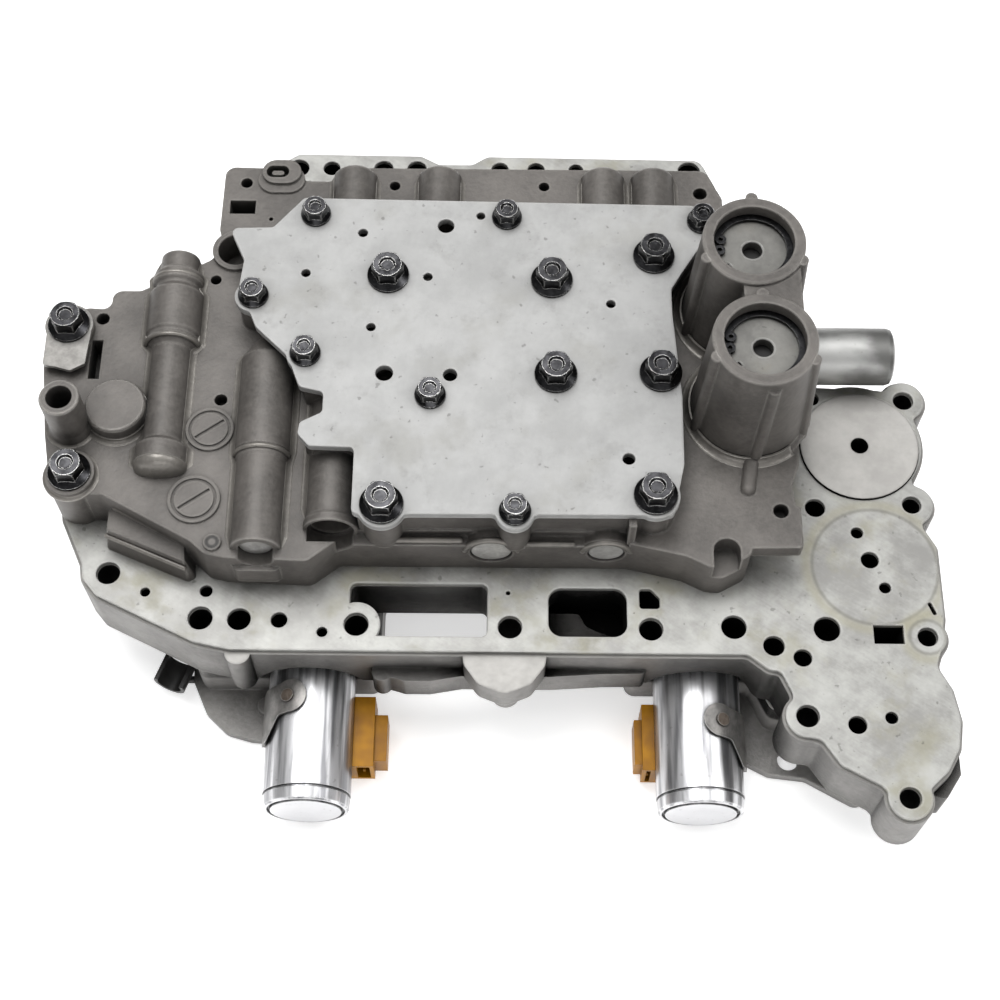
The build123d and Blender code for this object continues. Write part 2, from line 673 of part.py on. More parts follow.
def valve_tubes():
    """Stepped tubes of the left bank, the humps over the front pair and the rear humps."""
    shift, lockup, relay, pressure, control = VALVE_LINES
    tubes = []
    tubes.append(turned_y(shift.x, axis_height(shift), [
        (shift.mouth, 7.0), (64, 7.0), (62.3, 9.1), (58.8, 9.3), (57, 7.9), (55.6, 8.6), (54, 9.9),
        (37.3, 9.9), (35.8, 9.1), (34.4, 9.8), (32.6, 8.6), (31, 7.1), (-6, 7.1), (-8.4, 9.2),
        (-14.4, 9.2), (-18.6, 6.0),
    ], 0.6))
    tubes.append(turned_y(lockup.x, axis_height(lockup), [
        (lockup.mouth, 8.7), (-13.5, 8.8), (-12.5, 9.3), (-10.5, 9.3), (-9.5, 9.8), (27, 9.8), (34, 6.0),
    ], 0.4))
    relay_end = along(relay, bore_length(relay))
    flare = relay.mouth + RELAY_FLARE_LENGTH
    tubes.append(turned_y(relay.x, axis_height(relay), [
        (relay.mouth, RELAY_FLARE_RADIUS), (flare, RELAY_FLARE_RADIUS), (flare + 1.2, 8.7),
        (relay_end + 4, 8.7), (relay_end + 7, 6.0),
    ], 0.4))
    for line, radius in ((pressure, 9.7), (control, 9.4)):
        tubes.append(turned_y(line.x, axis_height(line), [
            (line.mouth, radius - 0.6), (line.mouth + 0.8, radius), (line.mouth + 9, radius),
        ]))
    hump_end = UPPER_REAR - REAR_HUMP_SETBACK
    for x in REAR_HUMPS:
        tubes.append(turned_y(x, Z_UPPER_TOP - 1, [
            (REAR_HUMP_START, REAR_HUMP_RADIUS),
            (hump_end - 1.2, REAR_HUMP_RADIUS),
            (hump_end, REAR_HUMP_RADIUS - 1.2),
        ]))
    return tubes


def tower(place):
    """Drafted accumulator tower with its nubs and the ribs that run down below them."""
    x, y = place
    height = Z_TOWER_TOP - Z_UPPER_TOP
    cone = Pos(x, y, Z_UPPER_TOP + height / 2) * Cone(TOWER_BASE_RADIUS, TOWER_RIM_RADIUS, height)
    pieces = [fillet(cone.edges().filter_by(GeomType.CIRCLE).sort_by(Axis.Z)[-1], TOWER_RIM_FILLET)]
    foot = Cone(TOWER_BASE_RADIUS + TOWER_FOOT, TOWER_BASE_RADIUS - 0.2, TOWER_FOOT)
    pieces.append(Pos(x, y, Z_UPPER_TOP + TOWER_FOOT / 2) * foot)
    for angle in TOWER_RIB_ANGLES:
        turn = math.radians(angle)
        out = (math.cos(turn), math.sin(turn))
        top = (x + TOWER_RIM_RADIUS * out[0], y + TOWER_RIM_RADIUS * out[1], Z_TOWER_TOP - 2)
        foot = (x + TOWER_BASE_RADIUS * out[0], y + TOWER_BASE_RADIUS * out[1], Z_UPPER_TOP - 2)
        pieces.append(rod(foot, top, TOWER_RIB_RADIUS))
        pieces.append(post(top, TOWER_RIB_RADIUS, Z_TOWER_TOP - 5, Z_TOWER_TOP - 0.3))
    return pieces


def marker_disc(place, radius):
    """Cast marker: a raised disc with a ring groove and a slanted slot."""
    disc = post(place, radius, Z_UPPER_TOP - 1, Z_UPPER_TOP + 0.9)
    ring = post(place, radius * 0.88, Z_UPPER_TOP + 0.3, Z_UPPER_TOP + 1)
    core = post(place, radius * 0.76, Z_UPPER_TOP, Z_UPPER_TOP + 1)
    slot = Pos(place[0], place[1], Z_UPPER_TOP + 0.7) * Rot(0, 0, 36) * Box(radius * 1.4, 1.0, 0.9)
    return disc - [ring - core, slot]


def cover_walls():
    """Wall under the cover plate, bosses for its bolts and the dividing walls between them."""
    low = Z_UPPER_TOP - 1
    outer = offset(cover_outline(), amount=-COVER_LIP)
    pieces = [prism(outer - offset(outer, amount=-COVER_WALL), low, Z_WALL_TOP)]
    root = Z_UPPER_TOP - COVER_BOSS_ROOT
    pieces += [post(place, M6_BOSS_RADIUS, root, Z_WALL_TOP) for place in COVER_M6_BOLTS]
    pieces += [post(place, M5_BOSS_RADIUS, root, Z_WALL_TOP) for place in COVER_M5_BOLTS]
    rear_left, rear_mid, rear_right, mid, right = COVER_M6_BOLTS[:5]
    for start, end in ((rear_left, rear_mid), (rear_mid, mid), (mid, right), (rear_left, COVER_M5_BOLTS[4])):
        run = Vector(*end) - Vector(*start)
        middle = (Vector(*start) + Vector(*end)) * 0.5
        turn = math.degrees(math.atan2(run.Y, run.X))
        wall = Box(run.length, DIVIDER_WALL, Z_WALL_TOP - low)
        pieces.append(Pos(middle.X, middle.Y, (low + Z_WALL_TOP) / 2) * Rot(0, 0, turn) * wall)
    return pieces


def upper_body():
    """Upper casting: slab, valve tubes, cover wall, left fittings and accumulator towers."""
    low = Z_PLATE_TOP
    top = Z_UPPER_TOP
    eye_top = top + SIDE_EYE_RISE
    hollow = [post(SIDE_EYE, SIDE_EYE_BORE, eye_top - SIDE_EYE_DEPTH, eye_top)]
    shelf_y = (UPPER_FRONT - 1, UPPER_FRONT + FRONT_SHELF_DEPTH)
    hollow.append(block(FRONT_SHELF_X, shelf_y, (top - FRONT_LEDGE_DROP, top + 1)))
    slab = prism(upper_outline(), low, top) + post(SIDE_EYE, SIDE_EYE_RADIUS, low, eye_top) - hollow
    ledge = rounded_outline(RIGHT_LEDGE_OUTLINE, 1.0)
    rail = rounded_outline(RAIL_OUTLINE, RAIL_CORNER)
    raised = [prism(ledge, top - RIGHT_LEDGE_DEPTH, top)]
    raised.append(Pos(0, 0, low) * extrude(rail, amount=RAIL_HEIGHT, dir=(0, 0, 1), taper=RAIL_DRAFT))
    raised += cover_walls()
    raised += valve_tubes()
    # Left side: bolt pads, pipe boss and round pad.
    for place in (LEFT_BOLT_REAR, LEFT_BOLT_FRONT):
        raised.append(post(place, LEFT_PAD_RADIUS, low, top + LEFT_PAD_HEIGHT))
    pipe_top = top + PIPE_BOSS_RISE
    raised.append(turned_z(PIPE_BOSS, [
        (0, low), (PIPE_BOSS_RADIUS + 0.8, low), (PIPE_BOSS_RADIUS + 0.8, top + 1),
        (PIPE_BOSS_RADIUS, top + 4), (PIPE_BOSS_RADIUS, pipe_top - 0.6), (PIPE_BOSS_RADIUS - 0.6, pipe_top),
        (0, pipe_top),
    ]))
    pad_top = top + ROUND_PAD_RISE
    raised.append(turned_z(ROUND_PAD, [
        (0, top - 1), (ROUND_PAD_RADIUS + 1.4, top - 1), (ROUND_PAD_RADIUS + 0.2, top + 1.5),
        (ROUND_PAD_RADIUS, pad_top - 1), (ROUND_PAD_RADIUS - 0.8, pad_top), (0, pad_top),
    ]))
    raised.append(post(LOW_DISC, LOW_DISC_RADIUS, top - 1, top + LOW_DISC_RISE))
    boss_top = top + SLOTTED_BOSS_RISE
    raised.append(prism(stadium(SLOTTED_BOSS, SLOTTED_BOSS_SIZE), low, boss_top))
    apron = (SLOTTED_BOSS_SIZE[0] + 3, SLOTTED_BOSS_SIZE[1] + 1.6)
    raised.append(prism(stadium((SLOTTED_BOSS[0], SLOTTED_BOSS[1] - 2.6), apron), top - 1, top + 0.9))
    # Rib between the front ledge and the cover wall, and the ledge at the foot of the lockup tube.
    rib_y = [UPPER_FRONT + reach for reach in SHELF_RIB_Y]
    raised.append(block(SHELF_RIB_X, rib_y, (top - FRONT_LEDGE_DROP - 1, Z_WALL_TOP)))
    foot = block(TUBE_FOOT_X, TUBE_FOOT_Y, [low + height for height in TUBE_FOOT_HEIGHTS])
    raised.append(fillet(foot.edges().filter_by(Axis.Z), TUBE_FOOT_CORNER))
    # Towers, the web that joins them and the ridge that runs forward from the front one.
    raised += tower(TOWER_REAR) + tower(TOWER_FRONT)
    web_y = (TOWER_FRONT[1] + WEB_SETBACK, TOWER_REAR[1] - WEB_SETBACK)
    raised.append(block(WEB_X, web_y, (top - 1, Z_TOWER_TOP - WEB_DROP)))
    raised.append(rod((*RIDGE_END, top), (*RIDGE_START, top), RIDGE_RADIUS))
    raised.append(Pos(*RIDGE_END, top) * Sphere(RIDGE_RADIUS))
    raised.append(rod((*FIN_FOOT, top + FIN_LIFT), (*FIN_TOP, Z_TOWER_TOP - FIN_DROP), TOWER_RIB_RADIUS))
    raised += [marker_disc(place, radius) for place, radius in MARKERS]

    # Accumulator bores and the ring grooves near their mouths.
    bored = []
    for place in (TOWER_REAR, TOWER_FRONT):
        bored.append(post(place, ACCUMULATOR_BORE, tower_floor(), Z_TOWER_TOP))
        ring_top = Z_TOWER_TOP - RING_LEVEL + RING_CLEARANCE
        bored.append(post(place, ACCUMULATOR_BORE + RING_GROOVE_DEPTH, cap_top(), ring_top))
    # Valve bores with their ports, drillings and key slots.
    for line in VALVE_LINES:
        z = axis_height(line)
        shoulder = along(line, plug_end(line))
        bored.append(bar_y(line.x, z, line.plug + PLUG_CLEARANCE, along(line, -4), shoulder))
        bore_end = along(line, bore_length(line))
        bored.append(bar_y(line.x, z, line.bore, along(line, plug_end(line) - 1), bore_end))
        if line.name == "relay_valve":
            bored.append(bar_y(line.x, z, RELAY_FLARE_BORE, along(line, -4), along(line, RELAY_FLARE_LENGTH)))
        for port in range(SPOOL_LANDS - 1):
            y = along(line, plug_end(line) + line.spool * (port + 1) / SPOOL_LANDS)
            bored.append(bar_y(line.x, z, line.bore + PORT_DEPTH, y - PORT_WIDTH / 2, y + PORT_WIDTH / 2))
            bored.append(post((line.x, y), PORT_DRILL, low, z))
        bored.append(key_space(line, KEY_CLEARANCE))
    # Bolt holes, the pipe bore and the bore of the rear solenoid.
    for place in COVER_M6_BOLTS + [LEFT_BOLT_REAR, LEFT_BOLT_FRONT]:
        bored.append(post(place, M6_RADIUS + HOLE_CLEARANCE, low, Z_WALL_TOP))
    for place in COVER_M5_BOLTS:
        bored.append(post(place, M5_RADIUS + THREAD_CLEARANCE, Z_WALL_TOP - M5_GRIP_IN_WALL - 1, Z_WALL_TOP))
    bored.append(post(PIPE_BOSS, PIPE_BORE, pipe_top - PIPE_DEPTH, pipe_top))
    nose_end = REAR_CAN_START - REAR_NOSE_LENGTH
    rear_axis = Z_PLATE_TOP + REAR_CAN_HEIGHT
    nose_bore = REAR_NOSE_RADIUS + NOSE_CLEARANCE
    bored.append(bar_x(REAR_CAN_Y, rear_axis, nose_bore, nose_end - 1, REAR_CAN_START + 2))
    seat = REAR_CAN_RADIUS + 1.2
    seat_y = (REAR_CAN_Y - seat, REAR_CAN_Y + seat)
    bored.append(block((REAR_CAN_START, REAR_CAN_START + 6), seat_y, (low, top)))
    # Small holes and pockets that open on the top.
    for x, y, radius in SMALL_HOLES:
        bored.append(post((x, y), radius, top - SMALL_HOLE_DEPTH, top + 1))
    bored.append(block(*REAR_POCKET, (top - REAR_POCKET_DEPTH, top + 1)))
    pocket_floor = boss_top - BOSS_POCKET_DEPTH
    pocket = prism(stadium(BOSS_POCKET, BOSS_POCKET_SIZE), pocket_floor, boss_top + 1)
    bored.append(pocket - prism(stadium(BOSS_POCKET, BOSS_KEY_SIZE), pocket_floor, boss_top - 1))
    bored.append(block(*SIDE_SLOT, (top - SIDE_SLOT_DEPTH, top + 1)))
    x, y = FRONT_NOTCH
    notch_floor = top - FRONT_NOTCH_DEPTH
    bored.append(post(FRONT_NOTCH, FRONT_NOTCH_RADIUS, notch_floor, top + 1))
    notch_x = (x - FRONT_NOTCH_RADIUS, x + FRONT_NOTCH_RADIUS)
    bored.append(block(notch_x, (y - FRONT_NOTCH_LENGTH, y), (notch_floor, top + 1)))
    return slab + raised - bored


def plate_openings(low, high, step):
    """Holes that the separator plate and the middle casting share; the step widens them."""
    holes = [post((x, y), radius + step, low, high) for x, y, radius in PASSAGES]
    holes += [post((x, REAR_PASSAGE_Y), radius + step, low, high) for x, radius in REAR_PASSAGES]
    notch = rounded_outline([(42.5, -57.6), (49.6, -57.6), (49.6, -53.5), (46.5, -50.1), (42.5, -50.1)], 1.2)
    holes.append(prism(notch, low, high))
    holes.append(block((122.7, 133.1), (-69.8, -62.9), (low, high)))
    slit = Pos(*EDGE_SLIT) * Rot(0, 0, EDGE_SLIT_TURN) * SlotOverall(EDGE_SLIT_LENGTH, EDGE_SLIT_WIDTH)
    holes.append(prism(slit, low, high))
    return holes


def track(points, width):
    """Flat oil track: a run of slots with round ends."""
    face = []
    for start, end in zip(points, points[1:]):
        run = Vector(*end) - Vector(*start)
        middle = (Vector(*start) + Vector(*end)) * 0.5
        turn = math.degrees(math.atan2(run.Y, run.X))
        face.append(Pos(middle.X, middle.Y) * Rot(0, 0, turn) * SlotCenterToCenter(run.length, width))
    return face[0] + face[1:] if len(face) > 1 else face[0]


def main_outline():
    return offset(plate_outline(), amount=CASTING_LIP)


def main_body():
    """Middle casting: it carries the case bolts, both plates and the arches over the solenoids."""
    low = Z_MAIN_BOTTOM
    top = Z_MAIN_TOP
    slab = prism(main_outline(), low, top)
    ledge = rounded_outline(FRONT_LEDGE_OUTLINE, FRONT_LEDGE_CORNER)
    tab = rounded_outline(TAB_OUTLINE, TAB_CORNER)
    tab_foot = top - TAB_THICKNESS
    raised = [prism(ledge, low, low + FRONT_LEDGE_HEIGHT), prism(tab, tab_foot, top)]
    raised.append(post(TAB_POST, TAB_POST_RADIUS, tab_foot - TAB_POST_DROP, tab_foot))
    raised.append(post(ARCH_POST, ARCH_POST_RADIUS, low, top))
    raised.append(post(LEDGE_POST, LEDGE_POST_RADIUS, low, low + FRONT_LEDGE_HEIGHT))
    raised.append(post(DISC_PAD, DISC_PAD_RADIUS, top - 1, Z_PLATE_TOP + DISC_PAD_RISE))
    heel = rounded_outline(HEEL_OUTLINE, HEEL_CORNER)
    raised.append(prism(heel, low, low + HEEL_HEIGHT))

    cut = []
    for x in SOLENOID_X:
        arch = SOLENOID_RADIUS + CAN_ARCH_CLEARANCE
        cut.append(bar_y(x, SOLENOID_AXIS, arch, SOLENOID_SEAT - 70, SOLENOID_SEAT + ARCH_REACH))
    cut.append(prism(left_window(), low - 5, top + 1))
    cut.append(prism(right_window(), top - RIGHT_WINDOW_DEPTH, top + 1))
    cut.append(prism(window_well(), low + WINDOW_WELL_FLOOR, top - RIGHT_WINDOW_DEPTH + 1))
    for x, y, radius in CASE_BOLTS:
        cut.append(post((x, y), radius, low, top))
    cut += plate_openings(top - PASSAGE_DEPTH, top, PLATE_HOLE_STEP)
    for place in COVER_M6_BOLTS + [LEFT_BOLT_REAR, LEFT_BOLT_FRONT]:
        cut.append(post(place, M6_RADIUS + THREAD_CLEARANCE, top - M6_GRIP_IN_MAIN - 1, top))
    for place in BASE_SCREWS:
        cut.append(post(place, SCREW_RADIUS + THREAD_CLEARANCE, low, low + SCREW_REACH + 1))
    for place in DOWELS:
        cut.append(post(place, DOWEL_RADIUS + DOWEL_CLEARANCE, low, low + DOWEL_REACH))
    for place in CHECK_BALLS:
        cut.append(post(place, BALL_RADIUS + BALL_CLEARANCE, top - 2 * BALL_RADIUS - BALL_CLEARANCE, top))
    cut.append(post(DISC_PAD, DISC_PAD_BORE, Z_PLATE_TOP - PASSAGE_DEPTH, Z_PLATE_TOP + DISC_PAD_RISE))
    cut += [prism(track(points, TRACK_WIDTH), low, low + TRACK_DEPTH) for points in OIL_TRACKS]
    return slab + raised - cut


def separator_plate():
    """Light steel plate between the middle and the upper casting."""
    low = Z_MAIN_TOP
    high = Z_PLATE_TOP
    cut = plate_openings(low, high, 0.0)
    cut += [post((x, y), radius + PLATE_HOLE_STEP, low, high) for x, y, radius in CASE_BOLTS]
    for place in COVER_M6_BOLTS + [LEFT_BOLT_REAR, LEFT_BOLT_FRONT]:
        cut.append(post(place, M6_RADIUS + HOLE_CLEARANCE, low, high))
    for line in VALVE_LINES:
        port_y = along(line, plug_end(line) + line.spool / SPOOL_LANDS)
        cut.append(post((line.x, port_y), PORT_DRILL, low, high))
    cut.append(post(DISC_PAD, DISC_PAD_RADIUS + DISC_PAD_CLEARANCE, low, high))
    cut.append(prism(left_window(PLATE_HOLE_STEP), low, high))
    cut.append(prism(right_window(), low, high))
    return prism(plate_outline(), low, high) - cut


def base_body():
    """Lower casting: block with a foot flange, solenoid bores and oil tracks."""
    top = Z_BASE_TOP
    block_part = prism(base_outline(), 0, top)
    left_lobe = rounded_outline(LEFT_LOBE_OUTLINE, LEFT_LOBE_CORNER)
    right_lobe = rounded_outline(RIGHT_LOBE_OUTLINE, RIGHT_LOBE_CORNER)
    raised = [prism(left_lobe, 0, BASE_FLANGE), prism(right_lobe, 0, BASE_FLANGE)]
    raised.append(post(FLANGE_STUD, FLANGE_STUD_RADIUS, 0, BASE_FLANGE + FLANGE_STUD_RISE))
    cut = []
    for x in SOLENOID_X:
        nose_end = SOLENOID_SEAT + SOLENOID_NOSE_LENGTH + 1
        nose_bore = SOLENOID_NOSE_RADIUS + NOSE_CLEARANCE
        cut.append(bar_y(x, SOLENOID_AXIS, nose_bore, SOLENOID_SEAT - 2, nose_end))
    for place in BASE_SCREWS:
        cut.append(post(place, SCREW_RADIUS + HOLE_CLEARANCE, 0, top))
        cut.append(post(place, SCREW_HEAD_RADIUS + HOLE_CLEARANCE, 0, SCREW_HEAD_DEPTH + SCREW_HEAD_INSET))
    for place in DOWELS:
        cut.append(post(place, DOWEL_RADIUS + DOWEL_CLEARANCE, top - DOWEL_REACH, top))
    for x, y, radius in CASE_BOLTS:
        cut.append(post((x, y), radius, 0, top))
    cut.append(bar_x(CLIP_PLACE[1], BASE_FLANGE / 2, CLIP_PIN_RADIUS, CLIP_PLACE[0], CLIP_PIN_END))
    cut += [prism(track(points, TRACK_WIDTH), 0, TRACK_DEPTH) for points in OIL_TRACKS]
    return block_part + raised - cut


def lower_separator_plate():
    low = Z_BASE_TOP
    high = Z_MAIN_BOTTOM
    cut = [post(place, SCREW_RADIUS + HOLE_CLEARANCE, low, high) for place in BASE_SCREWS]
    cut += [post(place, DOWEL_RADIUS + HOLE_CLEARANCE, low, high) for place in DOWELS]
    cut += [post((x, y), radius + PLATE_HOLE_STEP, low, high) for x, y, radius in CASE_BOLTS]
    cut += [post(points[0], TRACK_WIDTH / 3, low, high) for points in OIL_TRACKS]
    return prism(base_outline(), low, high) - cut


def cover_plate():
    """Light cover over the valve bank; a hole through it for each cover bolt."""
    low = Z_WALL_TOP
    high = Z_COVER_TOP
    cut = [post(place, M6_RADIUS + HOLE_CLEARANCE, low, high) for place in COVER_M6_BOLTS]
    cut += [post(place, M5_RADIUS + HOLE_CLEARANCE, low, high) for place in COVER_M5_BOLTS]
    cut += [post((x, y), radius, low, high) for x, y, radius in COVER_HOLES]
    return prism(cover_outline(), low, high) - cut


def m6_bolt(place, seat):
    shank = seat - Z_MAIN_TOP + M6_GRIP_IN_MAIN
    return flange_bolt(place, seat, shank, M6_RADIUS, M6_ACROSS_FLATS, M6_FLANGE_RADIUS, M6_HEAD_HEIGHT)


def m5_bolt(place):
    shank = COVER_THICKNESS + M5_GRIP_IN_WALL
    head = (M5_ACROSS_FLATS, M5_FLANGE_RADIUS, M5_HEAD_HEIGHT)
    return flange_bolt(place, Z_COVER_TOP, shank, M5_RADIUS, *head)


def harness_bracket():
    """Small sheet bracket under the rear left bolt."""
    seat = Z_UPPER_TOP + LEFT_PAD_HEIGHT
    x, y = LEFT_BOLT_REAR
    leaf = rounded_outline([
        (x - 7.6, y - 3), (x - 7.5, y - 16.5), (x - 2.8, y - 17.3), (x + 2.3, y - 18.8), (x + 7.3, y - 15.9),
        (x + 8.2, y - 2),
    ], 1.0)
    face = leaf + Pos(x, y) * Circle(LEFT_PAD_RADIUS)
    hole = post((x, y), M6_RADIUS + HOLE_CLEARANCE, seat, seat + 2)
    return prism(face, seat, seat + BRACKET_THICKNESS) - hole


def base_screw(place):
    """Socket head screw, head down in the underside of the base."""
    seat = SCREW_HEAD_DEPTH + SCREW_HEAD_INSET
    head = post(place, SCREW_HEAD_RADIUS, SCREW_HEAD_INSET, seat)
    shank = post(place, SCREW_RADIUS, seat, Z_MAIN_BOTTOM + SCREW_REACH)
    socket = extrude(RegularPolygon(SCREW_SOCKET_RADIUS, 6), SCREW_HEAD_DEPTH / 2)
    return head + shank - Pos(place[0], place[1], SCREW_HEAD_INSET) * socket


def dowel_pin(place):
    reach = DOWEL_REACH - DOWEL_GAP
    return post(place, DOWEL_RADIUS, Z_BASE_TOP - reach, Z_MAIN_BOTTOM + reach)


def check_ball(place):
    return Pos(place[0], place[1], Z_MAIN_TOP - BALL_RADIUS - BALL_CLEARANCE / 2) * Sphere(BALL_RADIUS)


def accumulator_cap(place):
    """Cap disc with its centre hole and a turning notch."""
    x, y = place
    top = cap_top() - RING_CLEARANCE
    disc = post(place, ACCUMULATOR_BORE - CAP_CLEARANCE, top - CAP_THICKNESS + RING_CLEARANCE, top)
    notch = Pos(x - 9.4, y - 7.3, top) * Rot(0, 0, 38) * Box(4.0, 1.8, 2.4)
    return disc - [post(place, CAP_HOLE, piston_top(), top + 1), notch]


def snap_ring(place):
    """Spring ring that holds the cap, with an eye in each end."""
    x, y = place
    low = cap_top()
    outer = ACCUMULATOR_BORE + RING_GROOVE_DEPTH - RING_CLEARANCE
    inner = outer - RING_WIDTH
    face = Circle(outer) - Circle(inner)
    opening = make_face(Polyline((0, 0), (-2 * outer, -outer * 0.22), (-2 * outer, outer * 0.5), close=True))
    face = face - opening
    eyes = []
    for angle in (RING_EYE_ANGLE - 11, RING_EYE_ANGLE + 11):
        turn = math.radians(angle)
        eyes.append((inner * math.cos(turn) * 0.97, inner * math.sin(turn) * 0.97))
    face = face + [Pos(*eye) * Circle(1.9) for eye in eyes]
    face = face - [Pos(*eye) * Circle(0.8) for eye in eyes]
    return Pos(x, y, 0) * prism(face & Circle(outer), low, low + RING_THICKNESS)


def piston(place):
    """Cup piston with a groove for its seal; it starts right below the cap."""
    outer = ACCUMULATOR_BORE - PISTON_CLEARANCE
    inner = outer - PISTON_WALL
    top = piston_top()
    bottom = top - PISTON_HEIGHT
    groove = top - SEAL_DROP
    return turned_z(place, [
        (0, top), (outer - 0.6, top), (outer, top - 0.6), (outer, groove), (outer - SEAL_DEPTH, groove),
        (outer - SEAL_DEPTH, groove - SEAL_WIDTH), (outer, groove - SEAL_WIDTH), (outer, bottom),
        (inner, bottom),
        (inner, top - PISTON_CROWN), (0, top - PISTON_CROWN),
    ])


def piston_seal(place):
    """Square ring in the piston's groove."""
    outer = ACCUMULATOR_BORE - SEAL_CLEARANCE
    inner = ACCUMULATOR_BORE - PISTON_CLEARANCE - SEAL_DEPTH
    high = piston_top() - SEAL_DROP
    low = high - SEAL_WIDTH
    return turned_z(place, [(inner, low), (outer, low), (outer, high), (inner, high)])


def accumulator_spring(place):
    """Spring between the tower floor and the crown of the piston."""
    low = tower_floor() + SPRING_GAP
    high = piston_top() - PISTON_CROWN - SPRING_GAP
    radius = ACCUMULATOR_BORE - PISTON_CLEARANCE - PISTON_WALL - ACCUMULATOR_WIRE - SPRING_GAP
    return Pos(place[0], place[1], low) * coil(radius, ACCUMULATOR_WIRE, high - low, ACCUMULATOR_COILS)


def spool(line):
    """Spool with lands that close the bore and stems between them."""
    land = line.bore - SPOOL_CLEARANCE
    stem = land * SPOOL_STEM_SHARE
    start = plug_end(line) + SPOOL_GAP
    steps = [(0.0, stem), (0.03, stem)]
    span = 0.97
    share = span / (2 * SPOOL_LANDS - 1)
    for index in range(2 * SPOOL_LANDS - 1):
        radius = land if index % 2 == 0 else stem
        steps.append((0.03 + index * share, radius))
        steps.append((0.03 + (index + 1) * share, radius))
    profile = [(along(line, start + step * line.spool), radius) for step, radius in steps]
    return turned_y(line.x, axis_height(line), profile)


def valve_spring(line):
    """Return spring between the spool and the blind end of its bore."""
    turned = coil(line.bore - VALVE_WIRE - VALVE_COIL_GAP, VALVE_WIRE, line.spring, VALVE_COILS)
    place = Pos(line.x, along(line, spring_start(line)), axis_height(line))
    return place * Rot(-90 * line.inward, 0, 0) * turned


def bore_plug(line):
    """Plug in the mouth of the bore, slotted for its key."""
    face = along(line, line.recess)
    bevel = along(line, line.recess + 0.6)
    profile = [(face, line.plug - 0.6), (bevel, line.plug), (along(line, plug_end(line)), line.plug)]
    return turned_y(line.x, axis_height(line), profile) - key_space(line, KEY_CLEARANCE)


def can_post(x, y, turn, radius, start, end):
    """Round post that stands out from a solenoid's axis at an angle from the vertical."""
    shift = (start + end) / 2
    return Pos(x, y, SOLENOID_AXIS) * Rot(0, turn, 0) * Pos(0, 0, shift) * Cylinder(radius, end - start)


def solenoid(index):
    """Sealed solenoid: polished can, end disc and the nose with two ring grooves."""
    x = SOLENOID_X[index]
    front = SOLENOID_SEAT - SOLENOID_LENGTH
    nose = SOLENOID_NOSE_RADIUS
    rim = front + END_RIM_DEPTH
    groove_start = front + END_GROOVE_BACK
    groove_end = groove_start + END_GROOVE
    profile = [(front, END_DISC_RADIUS), (rim, END_DISC_RADIUS + 0.3), (rim, END_DISC_RADIUS + END_GROOVE)]
    profile += [(front + 0.3, END_DISC_RADIUS + END_GROOVE + 0.3), (front + 0.3, SOLENOID_RADIUS - 1.2)]
    profile += [(front + 0.9, SOLENOID_RADIUS - 0.5), (groove_start, SOLENOID_RADIUS - 0.2)]
    groove_radius = SOLENOID_RADIUS - END_GROOVE_DEPTH
    profile += [(groove_start, groove_radius), (groove_end, groove_radius)]
    profile += [(groove_end, SOLENOID_RADIUS), (SOLENOID_SEAT - 0.5, SOLENOID_RADIUS)]
    profile += [(SOLENOID_SEAT, SOLENOID_RADIUS - 0.5), (SOLENOID_SEAT, nose)]
    for groove in NOSE_GROOVES:
        start = SOLENOID_SEAT + groove
        profile += [(start, nose), (start, nose - NOSE_GROOVE_DEPTH)]
        profile += [(start + NOSE_GROOVE_WIDTH, nose - NOSE_GROOVE_DEPTH), (start + NOSE_GROOVE_WIDTH, nose)]
    profile += [(SOLENOID_SEAT + SOLENOID_NOSE_LENGTH, nose)]
    y, turn = KEEPER_RIVETS[index]
    pocket = can_post(x, y, turn, RIVET_RADIUS, SOLENOID_RADIUS - RIVET_DEPTH, SOLENOID_RADIUS + 1)
    return turned_y(x, SOLENOID_AXIS, profile) - pocket


def o_ring(nose):
    """Rubber ring that sits in the groove of a nose, of eight-sided wire."""
    middle = nose - NOSE_GROOVE_DEPTH + O_RING_WIRE
    wire = Plane.XZ * Pos(middle, 0) * RegularPolygon(O_RING_WIRE, 8)
    return revolve(wire, Axis.Z)


def o_rings():
    """Rings in the grooves of the three solenoid noses."""
    rings = []
    for x in SOLENOID_X:
        for groove in NOSE_GROOVES:
            middle = SOLENOID_SEAT + groove + NOSE_GROOVE_WIDTH / 2
            rings.append(Pos(x, middle, SOLENOID_AXIS) * Rot(90, 0, 0) * o_ring(SOLENOID_NOSE_RADIUS))
    middle = REAR_CAN_START - NOSE_GROOVES[0] - NOSE_GROOVE_WIDTH / 2
    rear_axis = Z_PLATE_TOP + REAR_CAN_HEIGHT
    rings.append(Pos(middle, REAR_CAN_Y, rear_axis) * Rot(0, 90, 0) * o_ring(REAR_NOSE_RADIUS))
    return rings


